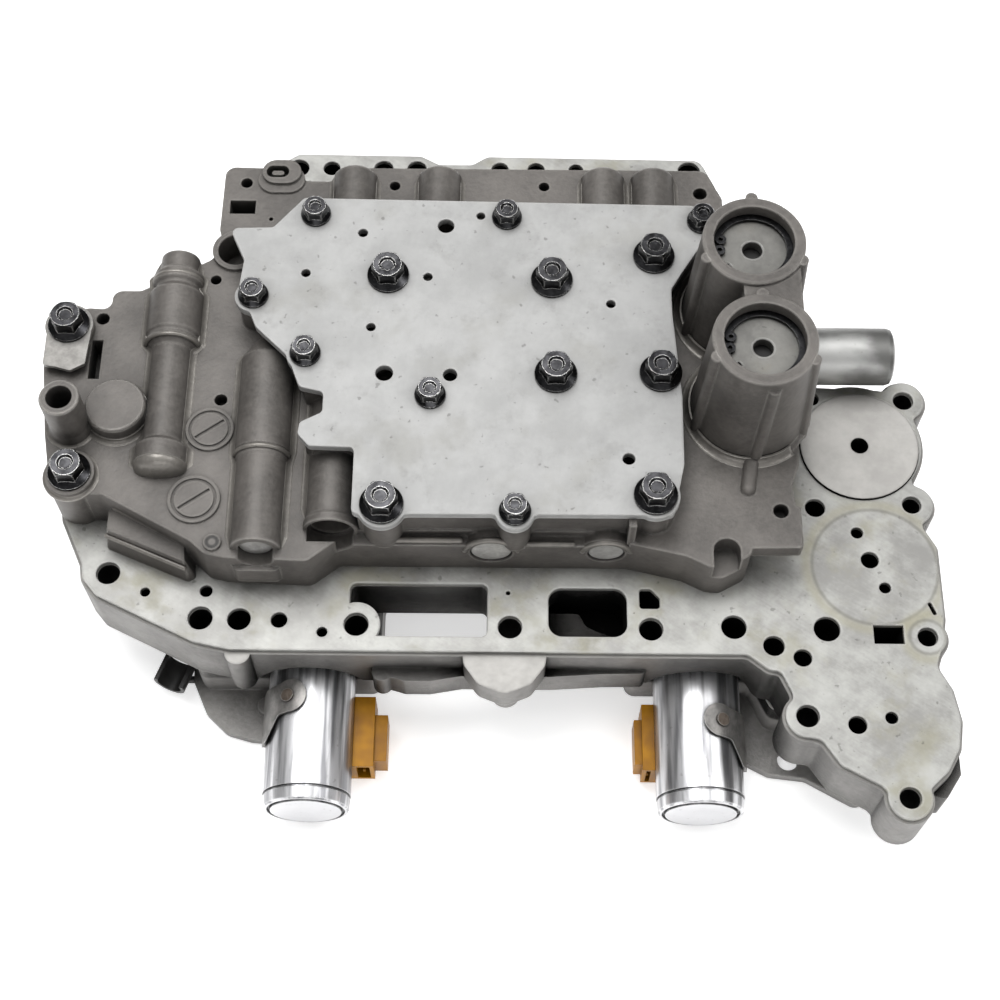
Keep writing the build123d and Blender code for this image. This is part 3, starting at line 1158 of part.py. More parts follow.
def solenoid_rear():
    """Small sealed solenoid that lies in the right wall of the upper casting."""
    groove = REAR_CAN_START - NOSE_GROOVES[0]
    groove_start = groove - NOSE_GROOVE_WIDTH
    groove_radius = REAR_NOSE_RADIUS - NOSE_GROOVE_DEPTH
    profile = [
        (REAR_CAN_START - REAR_NOSE_LENGTH, REAR_NOSE_RADIUS), (groove_start, REAR_NOSE_RADIUS),
        (groove_start, groove_radius), (groove, groove_radius), (groove, REAR_NOSE_RADIUS),
        (REAR_CAN_START, REAR_NOSE_RADIUS), (REAR_CAN_START, REAR_CAN_RADIUS),
        (REAR_CAN_END - 2.2, REAR_CAN_RADIUS), (REAR_CAN_END - 0.7, REAR_CAN_RADIUS - 0.5),
        (REAR_CAN_END, REAR_CAN_RADIUS - 1.8),
    ]
    can = turned_y(0, 0, profile)
    return Pos(0, REAR_CAN_Y, Z_PLATE_TOP + REAR_CAN_HEIGHT) * Rot(0, 0, -90) * can


def keeper(index):
    """Spring leaf that lies on the can round its rivet and reaches down its side."""
    x = SOLENOID_X[index]
    y, turn = KEEPER_RIVETS[index]
    inner = SOLENOID_RADIUS + KEEPER_GAP
    outer = inner + KEEPER_THICKNESS
    ear_x = x + inner * math.sin(math.radians(turn))
    side = math.copysign(1, turn)
    arm = rounded_outline([
        (ear_x - side * 2.6, y + 5.2), (ear_x + side * 9, y + 4.6), (x + side * (outer + 1), y + 2),
        (x + side * (outer + 1), y - 14.6), (x + side * (outer - 2.2), y - 14.8),
        (ear_x + side * 3.6, y - 6.6), (ear_x - side * 2, y - 5.6),
    ], 1.2)
    face = arm + Pos(ear_x, y) * Circle(KEEPER_EAR_RADIUS)
    shell = bar_y(x, SOLENOID_AXIS, outer, y - 30, y + 20) - bar_y(x, SOLENOID_AXIS, inner, y - 30, y + 20)
    leaf = shell & prism(face, SOLENOID_AXIS + KEEPER_LOWER_EDGE, SOLENOID_AXIS + 2 * outer)
    return leaf - can_post(x, y, turn, RIVET_RADIUS, inner - 1, outer + 1)


def keeper_rivet(index):
    x = SOLENOID_X[index]
    y, turn = KEEPER_RIVETS[index]
    seat = SOLENOID_RADIUS + KEEPER_GAP + KEEPER_THICKNESS
    shank = can_post(x, y, turn, RIVET_RADIUS, SOLENOID_RADIUS - RIVET_DEPTH, seat)
    return shank + can_post(x, y, turn, RIVET_HEAD_RADIUS, seat, seat + RIVET_HEAD)


def connector(index):
    """Moulded plug socket on the side of a can, open to the front with two blades in it."""
    x = SOLENOID_X[index]
    side = CONNECTOR_SIDES[index]
    reach = CONNECTOR_REACH[index]
    inner = x + side * (SOLENOID_RADIUS - 3.5)
    middle = x + side * (SOLENOID_RADIUS + reach * 0.62)
    outer = x + side * (SOLENOID_RADIUS + reach)
    low, high = CONNECTOR_HEIGHTS
    rear, step, front = CONNECTOR_Y[index]
    shell = block(sorted((inner, middle)), (front, rear), (low, high))
    shell += block(sorted((middle - side, outer)), (front + 2.5, step), (low + 1.5, high - 1.5))
    seat = bar_y(x, SOLENOID_AXIS, SOLENOID_RADIUS, front - 1, rear + 1)
    wall = CONNECTOR_WALL
    socket_inner = x + side * (SOLENOID_RADIUS + wall)
    socket_x = sorted((socket_inner, middle - side * wall))
    socket = block(socket_x, (front - 1, front + CONNECTOR_SOCKET), (low + wall, high - wall))
    body = shell - [seat, socket]
    mid_x = (socket_inner + middle - side * wall) / 2
    blades = []
    for z in (low + (high - low) * 0.32, low + (high - low) * 0.68):
        blade_y = (front + 1.5, front + CONNECTOR_SOCKET)
        blades.append(block((mid_x - 0.4, mid_x + 0.4), blade_y, (z - 1.2, z + 1.2)))
    return body + blades


def wire_clip():
    """Open saddle for a wire, with a pin pressed in the edge of the foot flange."""
    x, y, z = CLIP_PLACE
    outer = CLIP_RADIUS
    gap = Pos(0, outer) * Rectangle(3 * outer, 1.3 * outer)
    saddle = Circle(outer) - Circle(outer - CLIP_THICKNESS) - gap
    saddle = extrude(saddle, CLIP_LENGTH / 2, both=True)
    saddle = Pos(x, y, z) * Rot(0, 0, CLIP_TURN) * Rot(90, 0, 0) * saddle
    pin = bar_x(y, BASE_FLANGE / 2, CLIP_PIN_RADIUS - CLIP_PIN_CLEARANCE, x, CLIP_PIN_END - 0.5)
    neck = post((x, y), 2.0, BASE_FLANGE / 2 - 1.6, z - outer + CLIP_THICKNESS / 2)
    return saddle + [pin, neck]


def save(name, shape):
    """One file for a node; a list of shapes becomes a group of separate solids."""
    if isinstance(shape, list):
        shape = Compound(children=shape)
    export_step(shape, f"parts/{name}.step")


save("base_body", base_body())
save("lower_separator_plate", lower_separator_plate())
save("main_body", main_body())
save("separator_plate", separator_plate())
save("upper_body", upper_body())
save("cover_plate", cover_plate())
save("cover_bolts_m6", [m6_bolt(place, Z_COVER_TOP) for place in COVER_M6_BOLTS])
save("cover_bolts_m5", [m5_bolt(place) for place in COVER_M5_BOLTS])
pad_seat = Z_UPPER_TOP + LEFT_PAD_HEIGHT
rear_seat = pad_seat + BRACKET_THICKNESS
save("side_bolts", [m6_bolt(LEFT_BOLT_REAR, rear_seat), m6_bolt(LEFT_BOLT_FRONT, pad_seat)])
save("harness_bracket", harness_bracket())
save("base_screws", [base_screw(place) for place in BASE_SCREWS])
save("dowel_pins", [dowel_pin(place) for place in DOWELS])
save("check_balls", [check_ball(place) for place in CHECK_BALLS])

for side, place in (("rear", TOWER_REAR), ("front", TOWER_FRONT)):
    save(f"accumulator_cap_{side}", accumulator_cap(place))
    save(f"snap_ring_{side}", snap_ring(place))
    save(f"accumulator_piston_{side}", piston(place))
    save(f"piston_seal_{side}", piston_seal(place))
    save(f"accumulator_spring_{side}", accumulator_spring(place))

for line in VALVE_LINES:
    save(f"{line.name}_spool", spool(line))
    save(f"{line.name}_spring", valve_spring(line))
    save(f"{line.name}_plug", bore_plug(line))
    save(f"{line.name}_plug_key", key_space(line))

for index, side in enumerate(("left", "right")):
    save(f"solenoid_{side}", solenoid(index))
    save(f"connector_{side}", connector(index))
    save(f"keeper_{side}", keeper(index))
save("keeper_rivets", [keeper_rivet(0), keeper_rivet(1)])
save("solenoid_rear", solenoid_rear())
save("solenoid_o_rings", o_rings())
save("wire_clip", wire_clip())
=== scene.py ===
import json
import math

import bmesh
import bpy
import numpy as np
from mathutils import Matrix, Vector


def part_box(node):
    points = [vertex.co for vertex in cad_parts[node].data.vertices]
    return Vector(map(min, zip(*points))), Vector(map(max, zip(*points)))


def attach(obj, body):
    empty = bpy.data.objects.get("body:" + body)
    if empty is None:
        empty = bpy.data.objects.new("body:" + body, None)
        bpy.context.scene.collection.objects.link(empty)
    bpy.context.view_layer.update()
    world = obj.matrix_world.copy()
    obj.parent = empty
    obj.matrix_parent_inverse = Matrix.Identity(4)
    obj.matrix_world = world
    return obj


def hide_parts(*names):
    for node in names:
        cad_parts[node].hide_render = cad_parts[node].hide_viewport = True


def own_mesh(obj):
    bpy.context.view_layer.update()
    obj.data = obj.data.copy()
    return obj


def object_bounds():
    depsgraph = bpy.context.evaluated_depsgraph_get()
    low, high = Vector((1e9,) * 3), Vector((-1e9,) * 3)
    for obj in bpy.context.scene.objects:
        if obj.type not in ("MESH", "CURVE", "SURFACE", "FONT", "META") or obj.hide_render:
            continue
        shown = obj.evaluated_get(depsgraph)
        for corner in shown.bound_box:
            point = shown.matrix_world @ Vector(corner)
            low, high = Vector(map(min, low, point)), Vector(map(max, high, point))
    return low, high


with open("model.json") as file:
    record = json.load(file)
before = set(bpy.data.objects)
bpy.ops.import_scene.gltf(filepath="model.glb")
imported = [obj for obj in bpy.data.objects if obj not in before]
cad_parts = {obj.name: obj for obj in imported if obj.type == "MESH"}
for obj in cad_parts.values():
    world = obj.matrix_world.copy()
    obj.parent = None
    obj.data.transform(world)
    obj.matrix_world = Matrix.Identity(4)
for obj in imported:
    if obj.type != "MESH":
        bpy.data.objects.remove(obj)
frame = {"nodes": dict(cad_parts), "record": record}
cad_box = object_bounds()


# Lower casting.
# The bottom block of the stack with its foot flange: die-cast aluminium with a matt skin and faint flow
# marks, machined only where it meets the plate above, and screwed from below to the middle casting.


class Tone:
    """A socket of a material. Arithmetic on it, or on a number and it, adds Math nodes."""

    def __init__(self, tree, socket):
        self.tree = tree
        self.socket = socket

    def add(self, kind, settings, sockets, out=0):
        """Any other node: its type, its settings, the values or links of its sockets, and its output."""
        node = self.tree.nodes.new(kind)
        for key, value in settings.items():
            if key == "stops":
                ramp = node.color_ramp
                while len(ramp.elements) < len(value):
                    ramp.elements.new(0.5)
                for element, (place, tone) in zip(ramp.elements, value):
                    element.position = place
                    element.color = (tone, tone, tone, 1.0)
            else:
                setattr(node, key, value)
        for key, value in sockets.items():
            if isinstance(value, Tone):
                self.tree.links.new(value.socket, node.inputs[key])
            else:
                node.inputs[key].default_value = value
        return Tone(self.tree, node.outputs[out])

    def math(self, operation, first, second=0.0, clamp=False):
        settings = {"operation": operation, "use_clamp": clamp}
        return self.add("ShaderNodeMath", settings, {0: first, 1: second})

    def __add__(self, other):
        return self.math("ADD", self, other)

    __radd__ = __add__

    def __mul__(self, other):
        return self.math("MULTIPLY", self, other)

    __rmul__ = __mul__

    def __sub__(self, other):
        return self.math("SUBTRACT", self, other)

    def __rsub__(self, other):
        return self.math("SUBTRACT", other, self)

    def held(self):
        """The value held between nought and one."""
        return self.math("ADD", self, 0.0, clamp=True)

    def band(self, low, high):
        """Nought below low, one above high, and a smooth rise between them."""
        smooth = {"interpolation_type": "SMOOTHSTEP"}
        return self.add("ShaderNodeMapRange", smooth, {0: self, 1: low, 2: high})

    def blend(self, first, second):
        """Colour between two others, by this value; 6, 7 and 2 are the node's colour sockets."""
        return self.add("ShaderNodeMix", {"data_type": "RGBA"}, {0: self, 6: first, 7: second}, out=2)

    def grain(self, period, detail, rough, stretch=(1.0, 1.0, 1.0), turn=0.0):
        """Noise from nought to one whose lumps are about a period, in metres, across."""
        laid = self
        if turn:
            laid = self.add("ShaderNodeMapping", {}, {"Vector": self, "Rotation": (0.0, 0.0, turn)})
        scale = tuple(share / period for share in stretch)
        place = laid.add("ShaderNodeMapping", {}, {"Vector": laid, "Scale": scale})
        lumps = {"Vector": place, "Scale": 1.0, "Detail": detail, "Roughness": rough}
        return place.add("ShaderNodeTexNoise", {}, lumps)

    def part(self, letter):
        """One coordinate of a position."""
        return self.add("ShaderNodeSeparateXYZ", {}, {0: self}, out=letter)

    def away_from(self, point):
        """Distance of a position from a point."""
        return self.add("ShaderNodeVectorMath", {"operation": "DISTANCE"}, {0: self, 1: point}, out="Value")

    def size(self):
        """The value without its sign."""
        return self.math("ABSOLUTE", self)

    def facing(self):
        """Direction of the flat face, without rounding or bumps."""
        return self.add("ShaderNodeNewGeometry", {}, {}, out="True Normal")


def rgb(shade):
    """Linear colour of a six-digit shade."""
    shares = [int(shade[i : i + 2], 16) / 255 for i in (0, 2, 4)]
    linear = [share / 12.92 if share < 0.04045 else ((share + 0.055) / 1.055) ** 2.4 for share in shares]
    return (*linear, 1.0)


def new_finish(name, metallic):
    """A material with one shader; gives it, the shader's sockets and the position on the piece."""
    material = bpy.data.materials.new(name)
    material.use_nodes = True
    tree = material.node_tree
    tree.nodes.clear()
    output = tree.nodes.new("ShaderNodeOutputMaterial")
    shader = tree.nodes.new("ShaderNodeBsdfPrincipled")
    tree.links.new(shader.outputs[0], output.inputs[0])
    shader.inputs["Metallic"].default_value = metallic
    place = Tone(tree, tree.nodes.new("ShaderNodeTexCoord").outputs["Object"])
    return material, shader.inputs, place


def plug(sockets, **values):
    """Links tones to the shader's sockets, named with an underscore for each space."""
    for key, value in values.items():
        value.tree.links.new(value.socket, sockets[key.replace("_", " ")])


def rounding(place, radius):
    """Surface direction as if each edge were rounded, and how much it differs from the flat face."""
    round_way = place.add("ShaderNodeBevel", {"samples": 2}, {"Radius": radius})
    both_ways = {0: round_way, 1: place.facing()}
    agree = place.add("ShaderNodeVectorMath", {"operation": "DOT_PRODUCT"}, both_ways, out="Value")
    return round_way, (1 - agree).held()


def shelter(place, reach):
    """One in the open, falling to nought in corners, under ledges and down holes."""
    return place.add("ShaderNodeAmbientOcclusion", {"samples": 2}, {"Distance": reach}, out="AO")


def relief(place, height, strength, depth, way):
    """Surface direction of fine unevenness on top of another direction."""
    return place.add(
        "ShaderNodeBump", {}, {"Strength": strength, "Distance": depth, "Height": height, "Normal": way}
    )


def wear_finish(node, material):
    """Gives a node of the frame its material."""
    mesh = frame["nodes"][node].data
    mesh.materials.clear()
    mesh.materials.append(material)


MILLED_BLUR = 0.0002


def cast_finish(
    name, dark, light, bright, corner=0.0011, rough=0.46, metallic=0.45, milled=(), pocket_shade=None, pit_shade_rings=()
):
    """Die-cast aluminium: mottled skin, edges paled by wear and painted highlight, corners darkened by
    grime and painted shade, milled faces.

    A face is milled where it points up and its height lies in one of the bands. The pocket shade is a
    reach and a lowest height: a pocket narrower than about that reach is painted near black, as shade,
    down to that height. A pit is a shallow drill hole: its middle and its radius; a dark ring of painted
    shade stands for the hole's shaded inside.
    """
    material, sockets, place = new_finish(name, metallic)
    mottle = place.grain(0.022, 4.0, 0.6)
    skin = place.grain(0.0019, 3.0, 0.65)
    round_way, edge = rounding(place, corner)
    open_air = shelter(place, 0.010)
    tone = (mottle * 0.65 + skin * 0.35).band(0.28, 0.72).blend(rgb(dark), rgb(light))
    for middle, radius in pit_shade_rings:
        away = place.away_from(middle)
        ring = away.band(radius * 0.3, radius * 0.6) * (1 - away.band(radius * 0.85, radius))
        # Painted shade: a dark ring where the inside of a drill hole would lie in shadow.
        tone = (ring * 0.9).blend(tone, rgb("171614"))
    # Edges paled partly by wear and partly as painted highlight.
    wear_and_highlight = edge.band(0.02, 0.22) * open_air.band(0.3, 0.85)
    tone = (wear_and_highlight * 0.85).blend(tone, rgb(bright))
    up = place.facing().part("Z").band(0.96, 0.99)
    height = place.part("Z")
    cut = 0.0
    for low, high in milled:
        inside = height.band(low - MILLED_BLUR, low) * (1 - height.band(high, high + MILLED_BLUR))
        cut = cut + inside * up
    if milled:
        swirl = place.grain(0.012, 4.0, 0.65).band(0.3, 0.7)
        tone = cut.blend(tone, (swirl * 0.3 + 0.3).blend(rgb(light), rgb(bright)))
    sunk = 0.0
    if pocket_shade:
        reach, lowest = pocket_shade
        sunk = (1 - shelter(place, reach).band(0.6, 1.0)) * height.band(lowest, lowest + 0.003)
        sunk = sunk * (0.95 - cut * 0.95)
        # Painted shade: narrow pockets and windows are painted near black above the lowest height.
        tone = sunk.blend(tone, rgb("101010"))
    # Darker towards corners and under ledges: partly grime, partly painted shade.
    grime_and_shade = (1 - open_air.band(0.1, 0.85)) * 0.72
    tone = grime_and_shade.blend(tone, rgb("1D1B18"))
    # Painted shade: the tightest corners go near black.
    tone = (1 - open_air.band(0.02, 0.2)).blend(tone, rgb("0A0A09"))
    bump = skin * (1 - cut * 0.85)
    normal = relief(place, bump, 0.5, 0.0003, round_way)
    roughness = rough + (skin - 0.5) * 0.25 + grime_and_shade * 0.3 - wear_and_highlight * 0.1 + cut * 0.12 + sunk * 0.5
    plug(sockets, Base_Color=tone, Roughness=roughness, Normal=normal)
    if pocket_shade:
        sockets["Specular IOR Level"].default_value = 0.2
        plug(sockets, Metallic=metallic + sunk * (1 - metallic))
    return material


# Reach and lowest height of the near-black painted shade in the lower casting's pockets.
PAINTED_POCKET_SHADE = (0.035, 0.014)
base_cast = cast_finish("lower_cast_skin", "7E7C7A", "A3A19E", "D8D6D2", pocket_shade=PAINTED_POCKET_SHADE)
wear_finish("base_body", base_cast)


# Lower plate, pins and screws.
# A thin steel plate between the two lower castings, two ground dowel pins that line them up and the
# socket screws whose heads lie sunk in the underside.


def sheet_finish(name, dark, light, stain, lay, rough, stained, metallic, turn=0.0, rings=()):
    """Rolled steel sheet: faint lines along its lay, clouds, old oil stains, edges paled by wear and
    painted highlight, and painted shade in corners, in holes and round parts that stand on it.

    A ring is the mark that a round part has left on the sheet: its middle, in metres, and its radius.
    """
    material, sockets, place = new_finish(name, metallic)
    lines = place.grain(0.009, 5.0, 0.7, lay, turn)
    cloud = place.grain(0.02, 5.0, 0.65)
    speck = place.grain(0.0011, 2.0, 0.6)
    round_way, edge = rounding(place, 0.0013)
    open_air = shelter(place, 0.006)
    tone = (lines * 0.18 + cloud * 0.82).band(0.34, 0.66).blend(rgb(dark), rgb(light))
    patch = place.grain(0.028, 4.0, 0.65).band(0.5, 0.7) * stained
    tone = patch.blend(tone, rgb(stain))
    for middle, radius in rings:
        away = place.away_from(middle) - radius
        trace = 1 - away.size().band(0.0, 0.0011)
        halo = 1 - (away - 0.002).size().band(0.0, 0.0034)
        tone = (trace * 0.42).blend((halo * 0.45).blend(tone, rgb(stain)), rgb("55534D"))
    # Edges paled partly by wear and partly as painted highlight.
    wear_and_highlight = edge.band(0.008, 0.14) * open_air.band(0.1, 0.7)
    smudge = place.grain(0.011, 5.0, 0.7).band(0.52, 0.74) * 0.25
    tone = smudge.blend(tone, rgb("5E5C58"))
    spots = place.grain(0.0028, 2.0, 0.5).band(0.68, 0.74) * 0.45
    tone = spots.blend(tone, rgb("4A4845"))
    tone = (wear_and_highlight * 0.9).blend(tone, rgb("F2F1EE"))
    # Painted shade: darker near corners, holes and parts standing on the sheet; the tightest spots near
    # black.
    tone = ((1 - open_air.band(0.15, 0.85)) * 0.6).blend(tone, rgb("282623"))
    tone = (1 - open_air.band(0.02, 0.25)).blend(tone, rgb("090908"))
    roughness = rough + (lines - 0.5) * 0.25 + (cloud - 0.5) * 0.2 + patch * 0.3
    normal = relief(place, lines * 0.3 + speck * 0.4, 0.15, 0.0001, round_way)
    plug(sockets, Base_Color=tone, Roughness=roughness, Normal=normal)
    return material


plate_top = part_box("separator_plate")[1].z
PLATE_RINGS = (((0.1253, -0.0408, plate_top), 0.022), ((0.1412, -0.0671, plate_top), 0.0062))
plate_sheet = sheet_finish(
    "separator_sheet", "8A8986", "B0B0AC", "96927A", (1.0, 9.0, 1.0),
    rough=0.46, stained=0.5, metallic=0.35, turn=0.6, rings=PLATE_RINGS,
)
wear_finish("lower_separator_plate", plate_sheet)


def steel_finish(name, dark, light, rough, corner=0.0004, metallic=1.0, bright="E4E3E1", reach=0.004):
    """Hard steel: small tone clouds, edges paled by wear and painted highlight, corners darkened as
    painted shade, and fine scratches.
    """
    material, sockets, place = new_finish(name, metallic)
    cloud = place.grain(0.004, 3.0, 0.6)
    fine = place.grain(0.0015, 4.0, 0.7, (1.0, 1.0, 5.0))
    round_way, edge = rounding(place, corner)
    open_air = shelter(place, reach)
    tone = (cloud * 0.6 + fine * 0.4).band(0.3, 0.7).blend(rgb(dark), rgb(light))
    # Edges paled partly by wear and partly as painted highlight.
    tone = (edge.band(0.01, 0.14) * 0.9).blend(tone, rgb(bright))
    # Painted shade: darker in corners, in recesses and under parts.
    tone = ((1 - open_air.band(0.25, 0.85)) * 0.85).blend(tone, rgb("0B0B0B"))
    normal = relief(place, fine, 0.15, 0.0001, round_way)
    plug(sockets, Base_Color=tone, Roughness=rough + (fine - 0.5) * 0.25, Normal=normal)
    return material


ground_steel = steel_finish("ground_steel", "8E8E8E", "C9C9C8", rough=0.2)
bolt_steel = steel_finish("dark_bolt_steel", "161617", "444446", rough=0.24, corner=0.0005, bright="F4F3F1")
wear_finish("dowel_pins", ground_steel)
wear_finish("check_balls", ground_steel)
wear_finish("base_screws", bolt_steel)


# Front solenoids.
# Two drawn steel cans with a bright plated skin; each nose, with its rubber rings, is pushed into the
# lower casting, and a riveted spring leaf keeps the can from turning.


def can_finish(name, axis, lay, rough=0.22, tones=("858588", "E8E8EA"), metallic=0.85):
    """Bright plated can: glossy skin, bands that are partly polish and partly painted reflection, fine
    lines along its axis, plain ends, painted highlight on its edges and painted shade round parts that
    touch it.
    """
    material, sockets, place = new_finish(name, metallic)
    bands = place.grain(0.03, 2.0, 0.5, lay)
    lines = place.grain(0.012, 3.0, 0.5, lay)
    haze = place.grain(0.012, 3.0, 0.6)
    speck = place.grain(0.0018, 2.0, 0.5).band(0.66, 0.74)
    round_way, edge = rounding(place, 0.0006)
    # Bands along the axis: partly polish, partly painted reflection.
    tone = (bands * 0.7 + lines * 0.3).band(0.38, 0.6).blend(rgb(tones[0]), rgb(tones[1]))
    end = place.facing().part(axis).size().band(0.8, 0.95)
    tone = end.blend(tone, (haze * 0.3 + 0.6).blend(rgb(tones[0]), rgb(tones[1])))
    tone = (speck * 0.25).blend(tone, rgb("77706A"))
    # Painted highlight: edges go white.
    tone = (edge.band(0.02, 0.2) * 0.7).blend(tone, rgb("FFFFFF"))
    # Painted shade: near black close round the leaf and other touching parts.
    tone = ((1 - shelter(place, 0.003).band(0.45, 0.97)) * 0.9).blend(tone, rgb("101010"))
    normal = relief(place, lines, 0.06, 0.0001, round_way)
    plug(sockets, Base_Color=tone, Roughness=rough + haze * 0.1 + lines * 0.08, Normal=normal)
    return material


can_skin = can_finish("bright_can", "Y", (7.0, 0.5, 7.0))
wear_finish("solenoid_left", can_skin)
wear_finish("solenoid_right", can_skin)
leaf_steel = steel_finish("leaf_steel", "676664", "928F8C", rough=0.36, corner=0.0005, metallic=0.6)
rivet_steel = steel_finish("rivet_steel", "4A423C", "7A6F65", rough=0.4, metallic=0.6)
wear_finish("keeper_left", leaf_steel)
wear_finish("keeper_right", leaf_steel)
wear_finish("keeper_rivets", rivet_steel)


def rubber_finish(name):
    """Black nitrile rubber with a faint bloom and edges paled as painted highlight."""
    material, sockets, place = new_finish(name, 0.0)
    bloom = place.grain(0.002, 3.0, 0.6)
    round_way, edge = rounding(place, 0.0002)
    tone = bloom.blend(rgb("141414"), rgb("242322"))
    # Painted highlight: paler edges.
    tone = (edge * 0.2).blend(tone, rgb("3A3937"))
    normal = relief(place, bloom, 0.2, 0.0001, round_way)
    plug(sockets, Base_Color=tone, Roughness=0.55 + bloom * 0.2, Normal=normal)
    return material


ring_rubber = rubber_finish("ring_rubber")
for node in ("solenoid_o_rings", "piston_seal_rear", "piston_seal_front"):
    wear_finish(node, ring_rubber)


# Plug sockets.
# Amber nylon mouldings clipped on the side of each can, slightly glossy, with painted shade in the corners.


def amber_finish(name):
    """Moulded amber nylon: warm tone, soft sink marks, painted highlight on edges, painted shade in
    corners.
    """
    material, sockets, place = new_finish(name, 0.0)
    sockets["Specular IOR Level"].default_value = 0.18
    cloud = place.grain(0.009, 2.0, 0.5)
    fine = place.grain(0.0008, 2.0, 0.5)
    round_way, edge = rounding(place, 0.0004)
    tone = cloud.band(0.3, 0.7).blend(rgb("8A5B00"), rgb("AC7600"))
    # Painted highlight: paler edges.
    tone = (edge.band(0.02, 0.3) * 0.5).blend(tone, rgb("D29A1C"))
    # Painted shade: darker in corners.
    tone = ((1 - shelter(place, 0.004).band(0.1, 0.8)) * 0.7).blend(tone, rgb("3E2205"))
    normal = relief(place, fine, 0.12, 0.0001, round_way)
    plug(sockets, Base_Color=tone, Roughness=0.34 + cloud * 0.12, Normal=normal)
    return material


amber = amber_finish("amber_nylon")
wear_finish("connector_left", amber)
wear_finish("connector_right", amber)


# Wire clip.
# A small black plastic saddle, pinned in the edge of the foot flange.


def black_finish(name):
    """Black moulded plastic with a fine sheen and edges paled by wear and painted highlight."""
    material, sockets, place = new_finish(name, 0.0)
    cloud = place.grain(0.003, 3.0, 0.6)
    round_way, edge = rounding(place, 0.0003)
    tone = cloud.blend(rgb("161616"), rgb("2C2B2A"))
    # Edges paled partly by wear and partly as painted highlight.
    tone = (edge.band(0.02, 0.3) * 0.3).blend(tone, rgb("6A6A68"))
    normal = relief(place, cloud, 0.2, 0.0001, round_way)
    plug(sockets, Base_Color=tone, Roughness=0.34 + cloud * 0.15, Normal=normal)
    return material


wear_finish("wire_clip", black_finish("black_clip"))


# Middle casting.
# The widest casting of the stack: grey die-cast aluminium with a milled top that carries the plate, the
# raised round pad at the right, the front tab and the lobes for the case bolts.

plate_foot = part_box("separator_plate")[0].z
MILLED_FACES = ((plate_top + 0.0005, plate_top + 0.003), (plate_foot - 0.0003, plate_foot + 0.0003))
# Reach and lowest height of the near-black painted shade in the middle casting's windows.
PAINTED_WINDOW_SHADE = (0.035, 0.0)
main_cast = cast_finish(
    "middle_cast_skin", "6B6967", "94928F", "C6C4C0", milled=MILLED_FACES, pocket_shade=PAINTED_WINDOW_SHADE
)
wear_finish("main_body", main_cast)


# Separator plate.
# A light steel sheet, sheared and pierced, clamped between the middle and the upper casting; oil has
# stained it a faint yellow green.

wear_finish("separator_plate", plate_sheet)


# Upper casting.
# The valve bank with its stepped tubes and the two accumulator towers: die-cast aluminium, darkened by
# oil and heat, with paler edges that are partly wear and partly painted highlight.

DECK = 0.072
# Drill holes painted on the deck, not cut: each gets a dark ring of painted shade.
DRILL_HOLE_SHADE = (((-0.1033, -0.0437, DECK + 0.001), 0.0027),)
upper_cast = cast_finish(
    "upper_cast_skin", "4B4845", "6C6864", "C0BCB6",
    corner=0.0016, rough=0.5, metallic=0.28, pit_shade_rings=DRILL_HOLE_SHADE,
)
wear_finish("upper_body", upper_cast)


# Coves and beads of the upper casting.
# The mould leaves a hollow quarter round at the foot of each tube, boss and tower, beads on the rail and
# the front wall, rings on the tubes and a rounded tube end; all is the same aluminium, cast in one, though
# painted in lighter tones than the casting, as painted highlight for the light these rounds catch.

MM = 0.001
UP = (0.0, 0.0, 1.0)
COVE_STEPS = 7
COVE_SINK = 0.6 * MM


def cove(foot, outward, size, tube=None, closed=False):
    """Hollow quarter round along a wall's foot.

    At each station the round's middle is one size above the deck. It stands one size out from a wall, or,
    from the line of a tube of radius r, the root of (r + size) squared less size squared, so that it
    touches both. Its points go round that middle from straight down to the wall; three sunk points close
    the section.
    """
    count = len(foot)
    sizes = np.broadcast_to(size, count).astype(float)
    if tube is None:
        lean = np.zeros(count)
        middle = sizes
    else:
        lean = np.arcsin(sizes / (tube + sizes))
        middle = (tube + sizes) * np.cos(lean) - tube
    share = np.linspace(0.0, 1.0, COVE_STEPS)[None, :]
    start = -math.pi / 2
    angle = start + share * (-math.pi + lean - start)[:, None]
    across = middle[:, None] + sizes[:, None] * np.cos(angle)
    up = sizes[:, None] + sizes[:, None] * np.sin(angle)
    inner = across[:, -1] - COVE_SINK
    across = np.column_stack((across, inner, inner, across[:, 0]))
    low = np.full(count, -COVE_SINK)
    up = np.column_stack((up, up[:, -1], low, low))
    columns = across.shape[1]
    plan = foot[:, None, :] + across[:, :, None] * outward[:, None, :]
    points = np.concatenate((plan, (DECK + up)[:, :, None]), axis=2).reshape(-1, 3)
    rows = np.arange(count if closed else count - 1)[:, None] * columns
    cols = np.arange(columns)[None, :]
    ahead = (rows + columns) % (count * columns)
    beside = (cols + 1) % columns
    faces = np.stack((rows + cols, rows + beside, ahead + beside, ahead + cols), axis=-1).reshape(-1, 4)
    smooth = np.broadcast_to(cols < COVE_STEPS - 1, (len(rows), columns)).reshape(-1)
    ends = (np.array([[0], [count - 1]]) * columns + cols)[: 0 if closed else 2]
    return points, faces, ends, smooth


STATIONS_OF_POST = 49
STATIONS_OF_TUBE = 90
THIN_END = 0.08
RUNOUT = 2.0


def round_foot(centre, radius, size, start=0, end=360):
    """Cove round an upright post between two angles; a full turn closes on itself. Sizes in millimetres."""
    closed = end - start == 360
    turn = np.radians(np.linspace(start, end, STATIONS_OF_POST)[: -1 if closed else None])
    outward = np.column_stack((np.cos(turn), np.sin(turn)))
    return cove((np.array(centre) + radius * outward) * MM, outward, size * MM, closed=closed)


